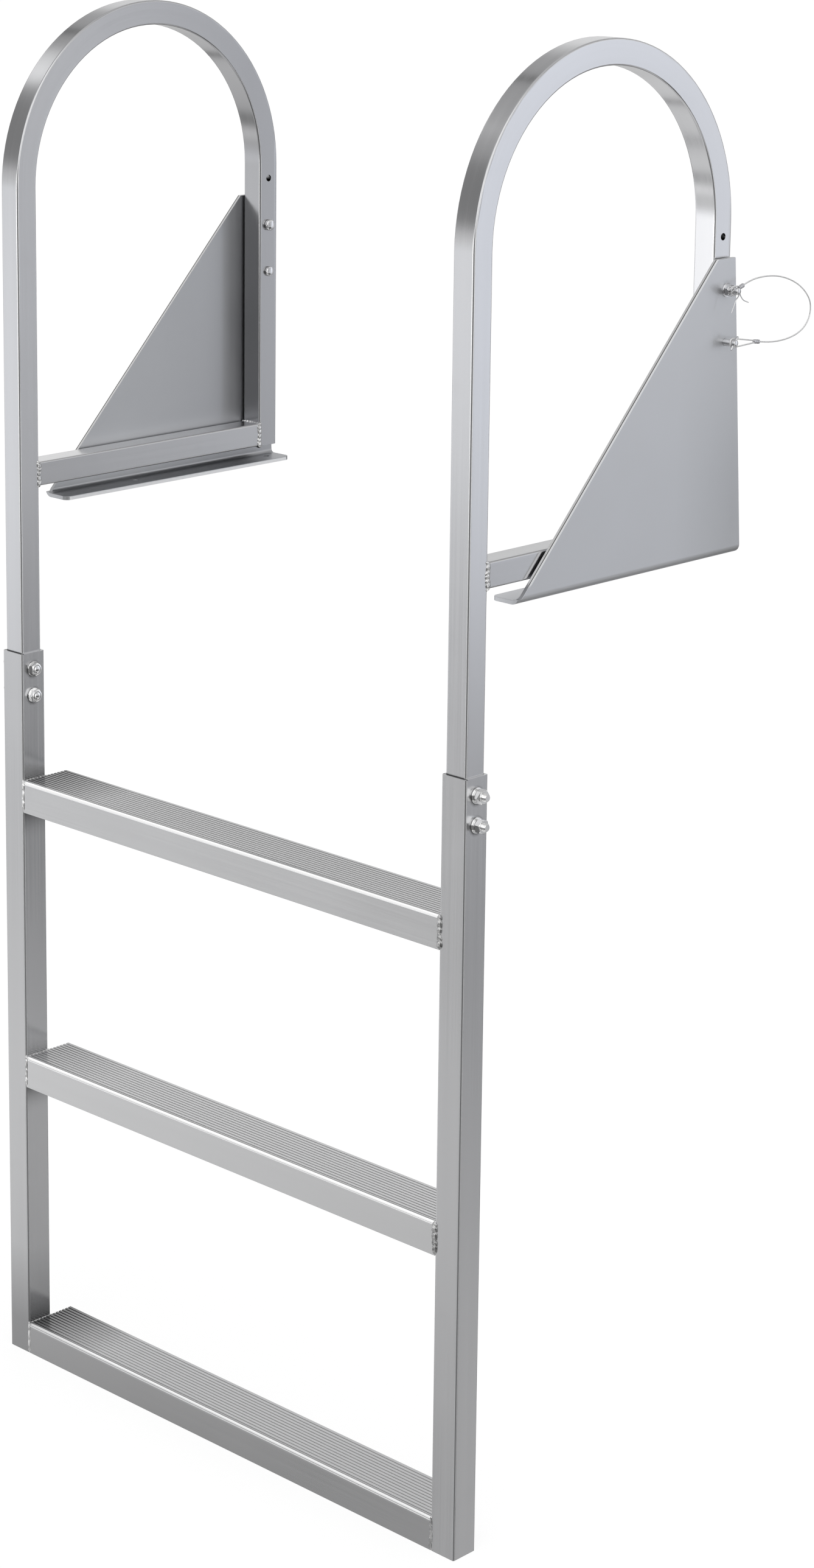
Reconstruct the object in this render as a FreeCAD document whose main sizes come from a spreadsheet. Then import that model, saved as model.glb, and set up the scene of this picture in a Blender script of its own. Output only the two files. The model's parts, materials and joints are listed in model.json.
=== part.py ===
import FreeCAD, Part
import math
import os
import Sketcher
from FreeCAD import Vector, Rotation, Placement

os.makedirs("parts", exist_ok=True)

# Dock ladder with two looped handrails that hang on a pair of deck brackets.
# Frame, in millimetres: the origin is the centre of the underside of the left
# bracket's flange, where it stands on the deck. +Z is up, +X runs along the
# treads towards the right bracket, and -Y points out over the water.

doc = FreeCAD.newDocument("dock_ladder")
sheet = doc.addObject("Spreadsheet::Sheet", "Sizes")

SIZES = [
    # overall
    ("ladder_width", 650.0),      # outside to outside of the lower rails
    ("mid_x", 312.0),             # ladder's middle plane in the part's frame
    ("front_y", -222.0),          # front face of the lower rails
    ("foot_z", -920.0),           # bottom of the lower rails
    # lower rails
    ("rail_side", 30.0),
    ("rail_wall", 2.4),
    ("rail_length", 768.0),
    ("rail_corner", 2.0),
    # handrail tube
    ("tube_side", 25.0),
    ("tube_wall", 2.0),
    ("tube_corner", 2.0),
    ("tube_start", 700.0),        # lower end of the front leg, inside the rail
    ("loop_centre", 1245.0),      # height of the bend's centre over the foot
    ("loop_depth", 360.0),        # outside front to outside back
    ("leg_end", 940.0),           # lower end of the rear leg
    # treads
    ("tread_depth", 58.0),
    ("tread_height", 34.0),
    ("tread_wall", 2.2),
    ("tread_pitch", 300.0),
    ("nosing_radius", 4.0),
    ("groove_width", 1.5),
    ("groove_depth", 1.2),
    ("groove_first", 4.15),
    ("groove_pitch", 4.45),
    ("groove_count", 12),
    # brackets
    ("plate_thick", 4.0),
    ("plate_gap", 2.0),           # between the handrail and the plate
    ("bend_radius", 4.0),         # inside radius of the bend
    ("flange_width", 33.0),
    ("flange_front", 62.0),       # measured from the rail's front face
    ("flange_back", 382.0),
    ("flange_corner", 7.0),
    ("plate_rise", 290.0),        # plate top over the flange's underside
    ("plate_top_front", 334.5),
    ("plate_top_back", 362.5),
    ("screw_front", 172.0),
    ("screw_back", 362.0),
    ("screw_hole", 6.5),
    # pins and bolts
    ("pin_hole", 7.0),
    ("pin_size", 6.9),
    ("pivot_height", 1180.0),
    ("pin_spacing", 50.0),
    ("bolt_hole", 8.2),
    ("bolt_size", 8.0),
    ("bolt_upper", 751.0),
    ("bolt_spacing", 28.0),
    ("wire_size", 1.5),
    ("wire_plane", 338.0),        # lanyard's plane, from the ladder's middle
    ("split_plane", 340.5),       # split pin's plane
    ("split_tilt", 22.0),         # split pin's ring stands forward, this far above level
    ("cross_plane", 340.0),       # locking pin's cross pin, from the middle
    ("cross_tilt", 41.0),         # its lean back from upright
]
for row, (alias, value) in enumerate(SIZES, start=1):
    sheet.set("A%d" % row, alias)
    sheet.set("B%d" % row, repr(value))
    sheet.setAlias("B%d" % row, alias)
doc.recompute()
V = {alias: float(sheet.get(alias)) for alias, value in SIZES}


def S(text):
    """Point the size names in an expression at the sheet."""
    out = text
    for alias in sorted(V, key=len, reverse=True):
        out = out.replace("$" + alias, "Sizes." + alias)
    return out


NODES = []


def node(obj, label):
    obj.Label = label
    NODES.append(obj)
    return obj


def put(obj, px, py, pz, rot=None):
    """Place an object: its position follows the sheet."""
    obj.Placement = Placement(Vector(0, 0, 0), rot or Rotation())
    obj.setExpression(".Placement.Base.x", S(px))
    obj.setExpression(".Placement.Base.y", S(py))
    obj.setExpression(".Placement.Base.z", S(pz))
    return obj


def origin_plane(body, role):
    for f in body.Origin.OriginFeatures:
        if f.Role == role:
            return f


def new_sketch(body, name, role):
    sk = body.newObject("Sketcher::SketchObject", name)
    sk.AttachmentSupport = [(origin_plane(body, role), "")]
    sk.MapMode = "FlatFace"
    return sk


def centred_square(sk, expr, value):
    """A square centred on the sketch's origin."""
    a = value / 2.0
    p = [Vector(-a, -a, 0), Vector(a, -a, 0), Vector(a, a, 0), Vector(-a, a, 0)]
    g = [sk.addGeometry(Part.LineSegment(p[i], p[(i + 1) % 4]), False) for i in range(4)]
    for i in range(4):
        sk.addConstraint(Sketcher.Constraint("Coincident", g[i], 2, g[(i + 1) % 4], 1))
    sk.addConstraint(Sketcher.Constraint("Horizontal", g[0]))
    sk.addConstraint(Sketcher.Constraint("Horizontal", g[2]))
    sk.addConstraint(Sketcher.Constraint("Vertical", g[1]))
    sk.addConstraint(Sketcher.Constraint("Vertical", g[3]))
    sk.addConstraint(Sketcher.Constraint("Symmetric", g[0], 1, g[2], 1, -1, 1))
    c = sk.addConstraint(Sketcher.Constraint("DistanceX", g[0], 1, g[0], 2, value))
    sk.setExpression("Constraints[%d]" % c, S(expr))
    c = sk.addConstraint(Sketcher.Constraint("DistanceY", g[1], 1, g[1], 2, value))
    sk.setExpression("Constraints[%d]" % c, S(expr))


def dimension(sk, kind, geo, point, val, expr):
    """A signed distance from the sketch's origin to a point."""
    if val > 0:
        c = sk.addConstraint(Sketcher.Constraint(kind, -1, 1, geo, point, val))
        text = expr
    else:
        c = sk.addConstraint(Sketcher.Constraint(kind, geo, point, -1, 1, -val))
        text = "-(%s)" % expr if expr else None
    if text:
        sk.setExpression("Constraints[%d]" % c, S(text))


def polygon(sk, pts):
    """A closed outline; pts holds (value, expression) pairs for both axes."""
    n = len(pts)
    p = [Vector(x[0], y[0], 0) for x, y in pts]
    g = [sk.addGeometry(Part.LineSegment(p[i], p[(i + 1) % n]), False) for i in range(n)]
    for i in range(n):
        sk.addConstraint(Sketcher.Constraint("Coincident", g[i], 2, g[(i + 1) % n], 1))
    for i, (x, y) in enumerate(pts):
        for kind, (val, expr) in (("DistanceX", x), ("DistanceY", y)):
            if abs(val) < 1e-9:
                axis = -2 if kind == "DistanceX" else -1
                sk.addConstraint(Sketcher.Constraint("PointOnObject", g[i], 1, axis))
                continue
            dimension(sk, kind, g[i], 1, val, expr)


def circle(sk, x, y, size_expr):
    """A round hole; x and y are (value, expression) pairs."""
    size = V[size_expr.replace("$", "")]
    g = sk.addGeometry(Part.Circle(Vector(x[0], y[0], 0), Vector(0, 0, 1), size / 2.0), False)
    c = sk.addConstraint(Sketcher.Constraint("Diameter", g, size))
    sk.setExpression("Constraints[%d]" % c, S(size_expr))
    for kind, (val, expr) in (("DistanceX", x), ("DistanceY", y)):
        if abs(val) < 1e-9:
            axis = -2 if kind == "DistanceX" else -1
            sk.addConstraint(Sketcher.Constraint("PointOnObject", g, 3, axis))
            continue
        dimension(sk, kind, g, 3, val, expr)


def through_pocket(body, name, sk):
    pocket = body.newObject("PartDesign::Pocket", name)
    pocket.Profile = sk
    pocket.SideType = "Symmetric"
    pocket.Type = "Length"
    pocket.Length = 4000.0
    return pocket


def long_edges(shape, axis, at_least):
    """Names of the straight edges along an axis (0, 1 or 2)."""
    out = []
    for i, e in enumerate(shape.Edges, start=1):
        if e.Curve.TypeId != "Part::GeomLine" or e.Length < at_least:
            continue
        d = e.tangentAt(e.FirstParameter)
        if abs(abs(d[axis]) - 1.0) < 1e-6:
            out.append(("Edge%d" % i, e))
    return out


# ---------------------------------------------------------------- lower rails
# Square tube, open at both ends; the handrail's front leg stands in its top.
def lower_rail(label, side):
    body = doc.addObject("PartDesign::Body", label)
    sk = new_sketch(body, label + "_section", "XY_Plane")
    centred_square(sk, "$rail_side", V["rail_side"])
    centred_square(sk, "$rail_side - 2 * $rail_wall", V["rail_side"] - 2 * V["rail_wall"])
    pad = body.newObject("PartDesign::Pad", label + "_tube")
    pad.Profile = sk
    pad.setExpression("Length", S("$rail_length"))
    doc.recompute()
    half = V["rail_side"] / 2.0
    edges = [n for n, e in long_edges(pad.Shape, 2, 100.0)
             if abs(abs(e.Vertexes[0].X) - half) < 1e-6]
    fil = body.newObject("PartDesign::Fillet", label + "_corners")
    fil.Base = (pad, edges)
    fil.setExpression("Radius", S("$rail_corner"))
    holes = new_sketch(body, label + "_bolt_centres", "YZ_Plane")
    circle(holes, (0, None), (V["bolt_upper"], "$bolt_upper"), "$bolt_hole")
    circle(holes, (0, None), (V["bolt_upper"] - V["bolt_spacing"], "$bolt_upper - $bolt_spacing"), "$bolt_hole")
    cut = through_pocket(body, label + "_bolt_holes", holes)
    body.Tip = cut
    put(body, "$mid_x + %d * ($ladder_width - $rail_side) / 2" % side,
        "$front_y + $rail_side / 2", "$foot_z")
    return node(body, label)


lower_rail("left_rail", -1)
lower_rail("right_rail", 1)


# --------------------------------------------------------------------- treads
# Hollow extrusion: rounded nosing in front and lengthwise grooves on top.
def tread(label, number):
    body = doc.addObject("PartDesign::Body", label)
    sk = new_sketch(body, label + "_section", "YZ_Plane")
    d, h, w = V["tread_depth"], V["tread_height"], V["tread_wall"]
    polygon(sk, [((0, None), (0, None)), ((d, "$tread_depth"), (0, None)),
                 ((d, "$tread_depth"), (h, "$tread_height")), ((0, None), (h, "$tread_height"))])
    roof = V["tread_wall"] + V["groove_depth"]
    polygon(sk, [((w, "$tread_wall"), (w, "$tread_wall")),
                 ((d - w, "$tread_depth - $tread_wall"), (w, "$tread_wall")),
                 ((d - w, "$tread_depth - $tread_wall"), (h - roof, "$tread_height - $tread_wall - $groove_depth")),
                 ((w, "$tread_wall"), (h - roof, "$tread_height - $tread_wall - $groove_depth"))])
    pad = body.newObject("PartDesign::Pad", label + "_box")
    pad.Profile = sk
    pad.setExpression("Length", S("$ladder_width - 2 * $rail_side"))
    doc.recompute()
    picked = [n for n, e in long_edges(pad.Shape, 0, 100.0)
              if abs(e.Vertexes[0].Y) < 1e-6 and abs(e.Vertexes[0].Z - h) < 1e-6]
    fil = body.newObject("PartDesign::Fillet", label + "_nosing")
    fil.Base = (pad, picked)
    fil.setExpression("Radius", S("$nosing_radius"))
    gs = new_sketch(body, label + "_groove", "YZ_Plane")
    a, gw, gd = V["groove_first"], V["groove_width"], V["groove_depth"]
    polygon(gs, [((a, "$groove_first"), (h - gd, "$tread_height - $groove_depth")),
                 ((a + gw, "$groove_first + $groove_width"), (h - gd, "$tread_height - $groove_depth")),
                 ((a + gw, "$groove_first + $groove_width"), (h + 1, "$tread_height + 1")),
                 ((a, "$groove_first"), (h + 1, "$tread_height + 1"))])
    cut = through_pocket(body, label + "_first_groove", gs)
    pat = body.newObject("PartDesign::LinearPattern", label + "_grooves")
    pat.Originals = [cut]
    pat.Direction = (origin_plane(body, "Y_Axis"), [""])
    pat.setExpression("Length", S("$groove_pitch * ($groove_count - 1)"))
    pat.setExpression("Occurrences", S("$groove_count"))
    body.Tip = pat
    put(body, "$mid_x - $ladder_width / 2 + $rail_side", "$front_y",
        "$foot_z + %d * $tread_pitch" % number)
    return node(body, label)


tread("bottom_tread", 0)
tread("middle_tread", 1)
tread("top_tread", 2)


# ------------------------------------------------------------------ handrails
# Square tube bent to a loop: front leg, half circle, shorter rear leg.
def handrail(label, side):
    body = doc.addObject("PartDesign::Body", label)
    section = new_sketch(body, label + "_section", "XY_Plane")
    centred_square(section, "$tube_side", V["tube_side"])
    centred_square(section, "$tube_side - 2 * $tube_wall", V["tube_side"] - 2 * V["tube_wall"])
    path = new_sketch(body, label + "_centreline", "YZ_Plane")
    rise = V["loop_centre"] - V["tube_start"]
    reach = V["loop_depth"] - V["tube_side"]
    low = V["leg_end"] - V["tube_start"]
    a = path.addGeometry(Part.LineSegment(Vector(0, 0, 0), Vector(0, rise, 0)), False)
    b = path.addGeometry(Part.ArcOfCircle(Part.Circle(Vector(reach / 2, rise, 0), Vector(0, 0, 1), reach / 2),
                                          0.0, math.pi), False)
    c = path.addGeometry(Part.LineSegment(Vector(reach, rise, 0), Vector(reach, low, 0)), False)
    path.addConstraint(Sketcher.Constraint("Coincident", a, 1, -1, 1))
    path.addConstraint(Sketcher.Constraint("Vertical", a))
    path.addConstraint(Sketcher.Constraint("Vertical", c))
    path.addConstraint(Sketcher.Constraint("Tangent", a, 2, b, 2))
    path.addConstraint(Sketcher.Constraint("Tangent", c, 1, b, 1))
    k = path.addConstraint(Sketcher.Constraint("Radius", b, reach / 2))
    path.setExpression("Constraints[%d]" % k, S("($loop_depth - $tube_side) / 2"))
    k = path.addConstraint(Sketcher.Constraint("DistanceY", a, 1, a, 2, rise))
    path.setExpression("Constraints[%d]" % k, S("$loop_centre - $tube_start"))
    k = path.addConstraint(Sketcher.Constraint("DistanceY", -1, 1, c, 2, low))
    path.setExpression("Constraints[%d]" % k, S("$leg_end - $tube_start"))
    doc.recompute()
    pipe = body.newObject("PartDesign::AdditivePipe", label + "_tube")
    pipe.Profile = section
    pipe.Spine = (path, ["Edge1", "Edge2", "Edge3"])
    pipe.Mode = "Frenet"
    doc.recompute()
    half = V["tube_side"] / 2.0
    picked = []
    for i, e in enumerate(pipe.Shape.Edges, start=1):
        m = e.valueAt((e.FirstParameter + e.LastParameter) / 2.0)
        if e.Length < 60.0 or abs(abs(m.x) - half) > 1e-4:
            continue
        if e.Curve.TypeId == "Part::GeomLine":
            if abs(m.y - half) < 1e-4 or abs(m.y + half) < 1e-4 \
                    or abs(m.y - reach - half) < 1e-4 or abs(m.y - reach + half) < 1e-4:
                picked.append("Edge%d" % i)
        else:
            r = math.hypot(m.y - reach / 2, m.z - rise)
            if abs(r - reach / 2 - half) < 1e-3 or abs(r - reach / 2 + half) < 1e-3:
                picked.append("Edge%d" % i)
    fil = body.newObject("PartDesign::Fillet", label + "_corners")
    fil.Base = (pipe, picked)
    fil.setExpression("Radius", S("$tube_corner"))
    holes = new_sketch(body, label + "_hole_centres", "YZ_Plane")
    for k in (-1, 0, 1):
        circle(holes, (reach, "$loop_depth - $tube_side"),
               (V["pivot_height"] - V["tube_start"] + k * V["pin_spacing"],
                "$pivot_height - $tube_start + %d * $pin_spacing" % k), "$pin_hole")
    for k in (0, 1):
        circle(holes, (0, None),
               (V["bolt_upper"] - V["tube_start"] - k * V["bolt_spacing"],
                "$bolt_upper - $tube_start - %d * $bolt_spacing" % k), "$bolt_hole")
    cut = through_pocket(body, label + "_holes", holes)
    body.Tip = cut
    put(body, "$mid_x + %d * ($ladder_width - $rail_side) / 2" % side,
        "$front_y + $rail_side / 2", "$foot_z + $tube_start")
    return node(body, label)


handrail("left_handrail", -1)
handrail("right_handrail", 1)


# ---------------------------------------------------------------- cross tubes
# A level square tube between the two legs of each loop.
def cross_tube(label, side):
    body = doc.addObject("PartDesign::Body", label)
    sk = new_sketch(body, label + "_section", "XZ_Plane")
    centred_square(sk, "$tube_side", V["tube_side"])
    centred_square(sk, "$tube_side - 2 * $tube_wall", V["tube_side"] - 2 * V["tube_wall"])
    pad = body.newObject("PartDesign::Pad", label + "_tube")
    pad.Profile = sk
    pad.Reversed = True
    pad.setExpression("Length", S("$loop_depth - 2 * $tube_side"))
    doc.recompute()
    half = V["tube_side"] / 2.0
    edges = [n for n, e in long_edges(pad.Shape, 1, 100.0)
             if abs(abs(e.Vertexes[0].X) - half) < 1e-6]
    fil = body.newObject("PartDesign::Fillet", label + "_corners")
    fil.Base = (pad, edges)
    fil.setExpression("Radius", S("$tube_corner"))
    body.Tip = fil
    put(body, "$mid_x + %d * ($ladder_width - $rail_side) / 2" % side,
        "$front_y + ($rail_side + $tube_side) / 2",
        "$foot_z + $leg_end + $tube_side / 2")
    return node(body, label)


cross_tube("left_cross_tube", -1)
cross_tube("right_cross_tube", 1)


# ------------------------------------------------------------------- brackets
# One bent sheet each: a flange that stands on the deck, and a three-sided
# plate beside the loop's outer face.
def bracket(label, side):
    body = doc.addObject("PartDesign::Body", label)
    sk = new_sketch(body, label + "_bend", "XZ_Plane")
    t, r, w, h = V["plate_thick"], V["bend_radius"], V["flange_width"], V["plate_rise"]
    # local x: 0 at the flange's inboard edge, growing outboard
    sgn = side
    wide = (sgn * w, "%d * $flange_width" % sgn)
    face = (sgn * (w - t), "%d * ($flange_width - $plate_thick)" % sgn)
    polygon(sk, [((0, None), (0, None)), (wide, (0, None)), (wide, (h, "$plate_rise")),
                 (face, (h, "$plate_rise")), (face, (t, "$plate_thick")), ((0, None), (t, "$plate_thick"))])
    pad = body.newObject("PartDesign::Pad", label + "_sheet")
    pad.Profile = sk
    pad.Reversed = True
    pad.setExpression("Length", S("$flange_back - $flange_front"))
    doc.recompute()
    # the bend, inside and outside
    inside = [n for n, e in long_edges(pad.Shape, 1, 100.0)
              if abs(e.Vertexes[0].Z - t) < 1e-6 and abs(abs(e.Vertexes[0].X) - (w - t)) < 1e-6]
    fil = body.newObject("PartDesign::Fillet", label + "_inner_bend")
    fil.Base = (pad, inside)
    fil.setExpression("Radius", S("$bend_radius"))
    doc.recompute()
    outside = [n for n, e in long_edges(fil.Shape, 1, 100.0)
               if abs(e.Vertexes[0].Z) < 1e-6 and abs(abs(e.Vertexes[0].X) - w) < 1e-6]
    fil2 = body.newObject("PartDesign::Fillet", label + "_outer_bend")
    fil2.Base = (fil, outside)
    fil2.setExpression("Radius", S("$bend_radius + $plate_thick"))
    doc.recompute()
    # corners of the flange's inboard edge
    picked = []
    for i, e in enumerate(fil2.Shape.Edges, start=1):
        m = e.CenterOfMass
        if e.Curve.TypeId == "Part::GeomLine" and abs(e.Length - t) < 1e-6 and abs(m.x) < 1e-6:
            picked.append("Edge%d" % i)
    fil3 = body.newObject("PartDesign::Fillet", label + "_flange_corners")
    fil3.Base = (fil2, picked)
    fil3.setExpression("Radius", S("$flange_corner"))
    # the sloping front edge and the slightly raked back edge of the plate
    front = new_sketch(body, label + "_front_slope", "YZ_Plane")
    length = V["flange_back"] - V["flange_front"]
    tf = V["plate_top_front"] - V["flange_front"]
    tb = V["plate_top_back"] - V["flange_front"]
    low = t + 1.0
    # the slope starts at the flange's front corner
    y_low = low * tf / h
    polygon(front, [((y_low, "(($plate_thick + 1) * ($plate_top_front - $flange_front)) / $plate_rise"),
                     (low, "$plate_thick + 1")),
                    ((tf, "$plate_top_front - $flange_front"), (h, "$plate_rise")),
                    ((tf, "$plate_top_front - $flange_front"), (h + 20, "$plate_rise + 20")),
                    ((-30.0, None), (h + 20, "$plate_rise + 20")),
                    ((-30.0, None), (low, "$plate_thick + 1"))])
    cut1 = through_pocket(body, label + "_front_cut", front)
    back = new_sketch(body, label + "_back_slope", "YZ_Plane")
    back_low = t + r
    polygon(back, [((length, "$flange_back - $flange_front"), (back_low, "$plate_thick + $bend_radius")),
                   ((length + 30, "$flange_back - $flange_front + 30"), (back_low, "$plate_thick + $bend_radius")),
                   ((length + 30, "$flange_back - $flange_front + 30"), (h + 20, "$plate_rise + 20")),
                   ((tb, "$plate_top_back - $flange_front"), (h + 20, "$plate_rise + 20")),
                   ((tb, "$plate_top_back - $flange_front"), (h, "$plate_rise"))])
    cut2 = through_pocket(body, label + "_back_cut", back)
    pins = new_sketch(body, label + "_pin_centres", "YZ_Plane")
    leg = V["rail_side"] / 2 + V["loop_depth"] - V["tube_side"] - V["flange_front"]
    for k in (0, 1):
        circle(pins, (leg, "$rail_side / 2 + $loop_depth - $tube_side - $flange_front"),
               (V["pivot_height"] + V["foot_z"] - k * V["pin_spacing"],
                "$pivot_height + $foot_z - %d * $pin_spacing" % k), "$pin_hole")
    cut3 = through_pocket(body, label + "_pin_holes", pins)
    screws = new_sketch(body, label + "_screw_centres", "XY_Plane")
    for alias in ("screw_front", "screw_back"):
        circle(screws, (sgn * w / 2, "%d * $flange_width / 2" % sgn),
               (V[alias] - V["flange_front"], "$%s - $flange_front" % alias), "$screw_hole")
    cut4 = through_pocket(body, label + "_screw_holes", screws)
    body.Tip = cut4
    put(body, "$mid_x + %d * (($ladder_width - $rail_side + $tube_side) / 2 + $plate_gap + $plate_thick - $flange_width)" % side,
        "$front_y + $flange_front", "0 * $foot_z")
    return node(body, label)


bracket("left_bracket", -1)
bracket("right_bracket", 1)

# ------------------------------------------------------- turned and hex pieces
ALONG_X = Rotation(Vector(0, 1, 0), 90)      # local +Z turns to +X
AGAINST_X = Rotation(Vector(0, 1, 0), -90)   # local +Z turns to -X


def cylinder(name, radius, height, z="0"):
    c = doc.addObject("Part::Cylinder", name)
    c.setExpression("Radius", S(radius))
    c.setExpression("Height", S(height))
    c.setExpression(".Placement.Base.z", S(z))
    return c


def prism(name, flats, height, z="0"):
    p = doc.addObject("Part::Prism", name)
    p.Polygon = 6
    p.setExpression("Circumradius", S("(%s) / 2 / cos(30)" % flats))
    p.setExpression("Height", S(height))
    p.setExpression(".Placement.Base.z", S(z))
    return p


def fuse(name, parts):
    f = doc.addObject("Part::MultiFuse", name)
    f.Shapes = parts
    return f


def cut(name, base, tool):
    c = doc.addObject("Part::Cut", name)
    c.Base = base
    c.Tool = tool
    return c


def outward(side):
    return ALONG_X if side > 0 else AGAINST_X


def at(side, x_from_mid):
    return "$mid_x + %d * (%s)" % (side, x_from_mid)


LEG_Y = "$front_y + $rail_side / 2 + $loop_depth - $tube_side"
PIVOT_Z = "$foot_z + $pivot_height"
LOCK_Z = "$foot_z + $pivot_height - $pin_spacing"
TUBE_IN = "($ladder_width - $rail_side - $tube_side) / 2"
TUBE_OUT = "($ladder_width - $rail_side + $tube_side) / 2"
PLATE_IN = "($ladder_width - $rail_side + $tube_side) / 2 + $plate_gap"
PLATE_OUT = "($ladder_width - $rail_side + $tube_side) / 2 + $plate_gap + $plate_thick"
RAIL_IN = "$ladder_width / 2 - $rail_side"
RAIL_OUT = "$ladder_width / 2"

for name, side in (("left", -1), ("right", 1)):
    # Pivot bolt: round head inside the loop, shank through the leg and the
    # plate, a cross hole near its end for the split pin.
    n = name + "_pivot_bolt"
    head = cylinder(n + "_head", "6", "4")
    shank = cylinder(n + "_shank", "$pin_size / 2", "46.8", "4")
    solid = fuse(n + "_blank", [head, shank])
    hole = doc.addObject("Part::Cylinder", n + "_cross_hole")
    hole.Radius = 1.2
    hole.Height = 20
    turn = side * (90 - V["split_tilt"])
    back = Vector(math.cos(math.radians(turn)), math.sin(math.radians(turn)), 0) * -10
    hole.Placement = Placement(back, Rotation(Vector(0, 0, 1), turn).multiply(Rotation(Vector(0, 1, 0), 90)))
    hole.setExpression(".Placement.Base.z", S("$split_plane - (%s - 4.3)" % TUBE_IN))
    bolt = cut(n, solid, hole)
    put(bolt, at(side, TUBE_IN + " - 4.3"), LEG_Y, PIVOT_Z, outward(side))
    node(bolt, n)

    # Washer and hex nut outside the plate.
    n = name + "_pivot_washer"
    w = cut(n, cylinder(n + "_disc", "6.6", "1.4"), cylinder(n + "_bore", "3.55", "4", "-1"))
    put(w, at(side, PLATE_OUT), LEG_Y, PIVOT_Z, outward(side))
    node(w, n)
    n = name + "_pivot_nut"
    w = cut(n, prism(n + "_hex", "10.5", "4.6"), cylinder(n + "_bore", "3.5", "8", "-1"))
    put(w, at(side, PLATE_OUT + " + 1.4"), LEG_Y, PIVOT_Z, outward(side))
    node(w, n)

    # Locking pin in two lengths that meet in the gap between leg and plate:
    # the inner one turns with the ladder, the outer one stays in the bracket.
    n = name + "_lock_pin_head"
    p = fuse(n, [cylinder(n + "_disc", "5.3", "3"), cylinder(n + "_shank", "$pin_size / 2", "26.2", "3")])
    put(p, at(side, TUBE_IN + " - 3.3"), LEG_Y, LOCK_Z, outward(side))
    node(p, n)
    n = name + "_lock_pin_end"
    cross = doc.addObject("Part::Cylinder", n + "_cross_pin")
    cross.Radius = 1.1
    cross.Height = 16
    turn = side * V["cross_tilt"]
    back = Vector(side * math.cos(math.radians(turn)), -side * math.sin(math.radians(turn)), 0) * 8
    cross.Placement = Placement(back, Rotation(Vector(0, 0, 1), back * -1))
    cross.setExpression(".Placement.Base.z", S("$cross_plane - (%s - 0.9)" % PLATE_IN))
    p = fuse(n, [cylinder(n + "_shank", "$pin_size / 2", "18.8"), cross])
    put(p, at(side, PLATE_IN + " - 0.9"), LEG_Y, LOCK_Z, outward(side))
    node(p, n)

    # Two bolts through each sleeve joint, with a washer and a nut outside.
    for level, k in (("upper", 0), ("lower", 1)):
        z = "$foot_z + $bolt_upper - %d * $bolt_spacing" % k
        y = "$front_y + $rail_side / 2"
        n = "%s_%s_bolt" % (name, level)
        b = fuse(n, [prism(n + "_hex", "12.4", "5.2"),
                     cylinder(n + "_collar", "7.7", "1.4", "5.2"),
                     cylinder(n + "_shank", "$bolt_size / 2 - 0.05", "$rail_side + 13.5", "6.6")])
        put(b, at(side, RAIL_IN + " - 6.6"), y, z, outward(side))
        node(b, n)
        n = "%s_%s_washer" % (name, level)
        w = fuse(n + "_stack", [cylinder(n + "_disc", "7.7", "1.4"), cylinder(n + "_spring", "6.6", "1.8", "1.4")])
        w = cut(n, w, cylinder(n + "_bore", "4.1", "6", "-1"))
        put(w, at(side, RAIL_OUT), y, z, outward(side))
        node(w, n)
        n = "%s_%s_nut" % (name, level)
        w = cut(n, prism(n + "_hex", "12.4", "6.2"), cylinder(n + "_bore", "4.0", "9", "-1"))
        put(w, at(side, RAIL_OUT + " + 3.2"), y, z, outward(side))
        node(w, n)


# ------------------------------------------------------------- wire and wires
def round_wire(points, share=0.45, radii=None):
    """Straight runs joined by tangent arcs, as large as the runs allow."""
    edges = []
    start = points[0]
    for i in range(1, len(points) - 1):
        a, b, c = points[i - 1], points[i], points[i + 1]
        u = (b - a)
        v = (c - b)
        lu, lv = u.Length, v.Length
        u.normalize()
        v.normalize()
        turn = u.getAngle(v)
        short = min(lu, lv)
        radius = share * short / math.tan(turn / 2.0)
        if radii is not None:
            radii.append(radius)
        back = share * short
        p1 = b - u * back
        p2 = b + v * back
        bis = (v - u)
        bis.normalize()
        centre = b + bis * (radius / math.cos(turn / 2.0))
        mid = centre - bis * radius
        edges.append(Part.LineSegment(start, p1).toShape())
        edges.append(Part.Arc(p1, mid, p2).toShape())
        start = p2
    edges.append(Part.LineSegment(start, points[-1]).toShape())
    return Part.Wire(edges)


def sweep_round(path, diameter):
    e = path.Edges[0]
    p = e.valueAt(e.FirstParameter)
    t = e.tangentAt(e.FirstParameter)
    ring = Part.Wire([Part.Circle(p, t, diameter / 2.0).toShape()])
    return Part.Wire(path).makePipeShell([ring], True, True)


def axis_rod(p, q, diameter):
    d = q - p
    return Part.makeCylinder(diameter / 2.0, d.Length, p, d)


# The right lanyard's route in its own plane: (back from the rail's front
# face, up from the foot). It leaves its upper ferrule, swings out behind the
# plate and comes back to the lower ferrule.
LOOPS = {
    1: [(363.3, 1184.3), (374.5, 1187.9), (389.0, 1189.5), (404.5, 1189.3), (420.0, 1187.3),
        (435.0, 1183.0), (449.0, 1176.8), (461.0, 1168.2), (469.5, 1157.5), (469.8, 1145.0),
        (462.5, 1134.5), (450.5, 1128.3), (436.0, 1125.2), (420.0, 1124.2), (404.5, 1124.9), (390.0, 1127.0)],
}


def part_feature(label, shape, side):
    """Shapes are drawn with x = 0 on their own plane."""
    f = doc.addObject("Part::Feature", label)
    f.Shape = shape
    f.Placement = Placement(Vector(0, 0, 0), Rotation())
    return node(f, label)


WIRE = V["wire_size"]
leg_y = V["rail_side"] / 2 + V["loop_depth"] - V["tube_side"]


def frame_point(side, x, y, z):
    return Vector(V["mid_x"] + side * x, V["front_y"] + y, V["foot_z"] + z)


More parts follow.
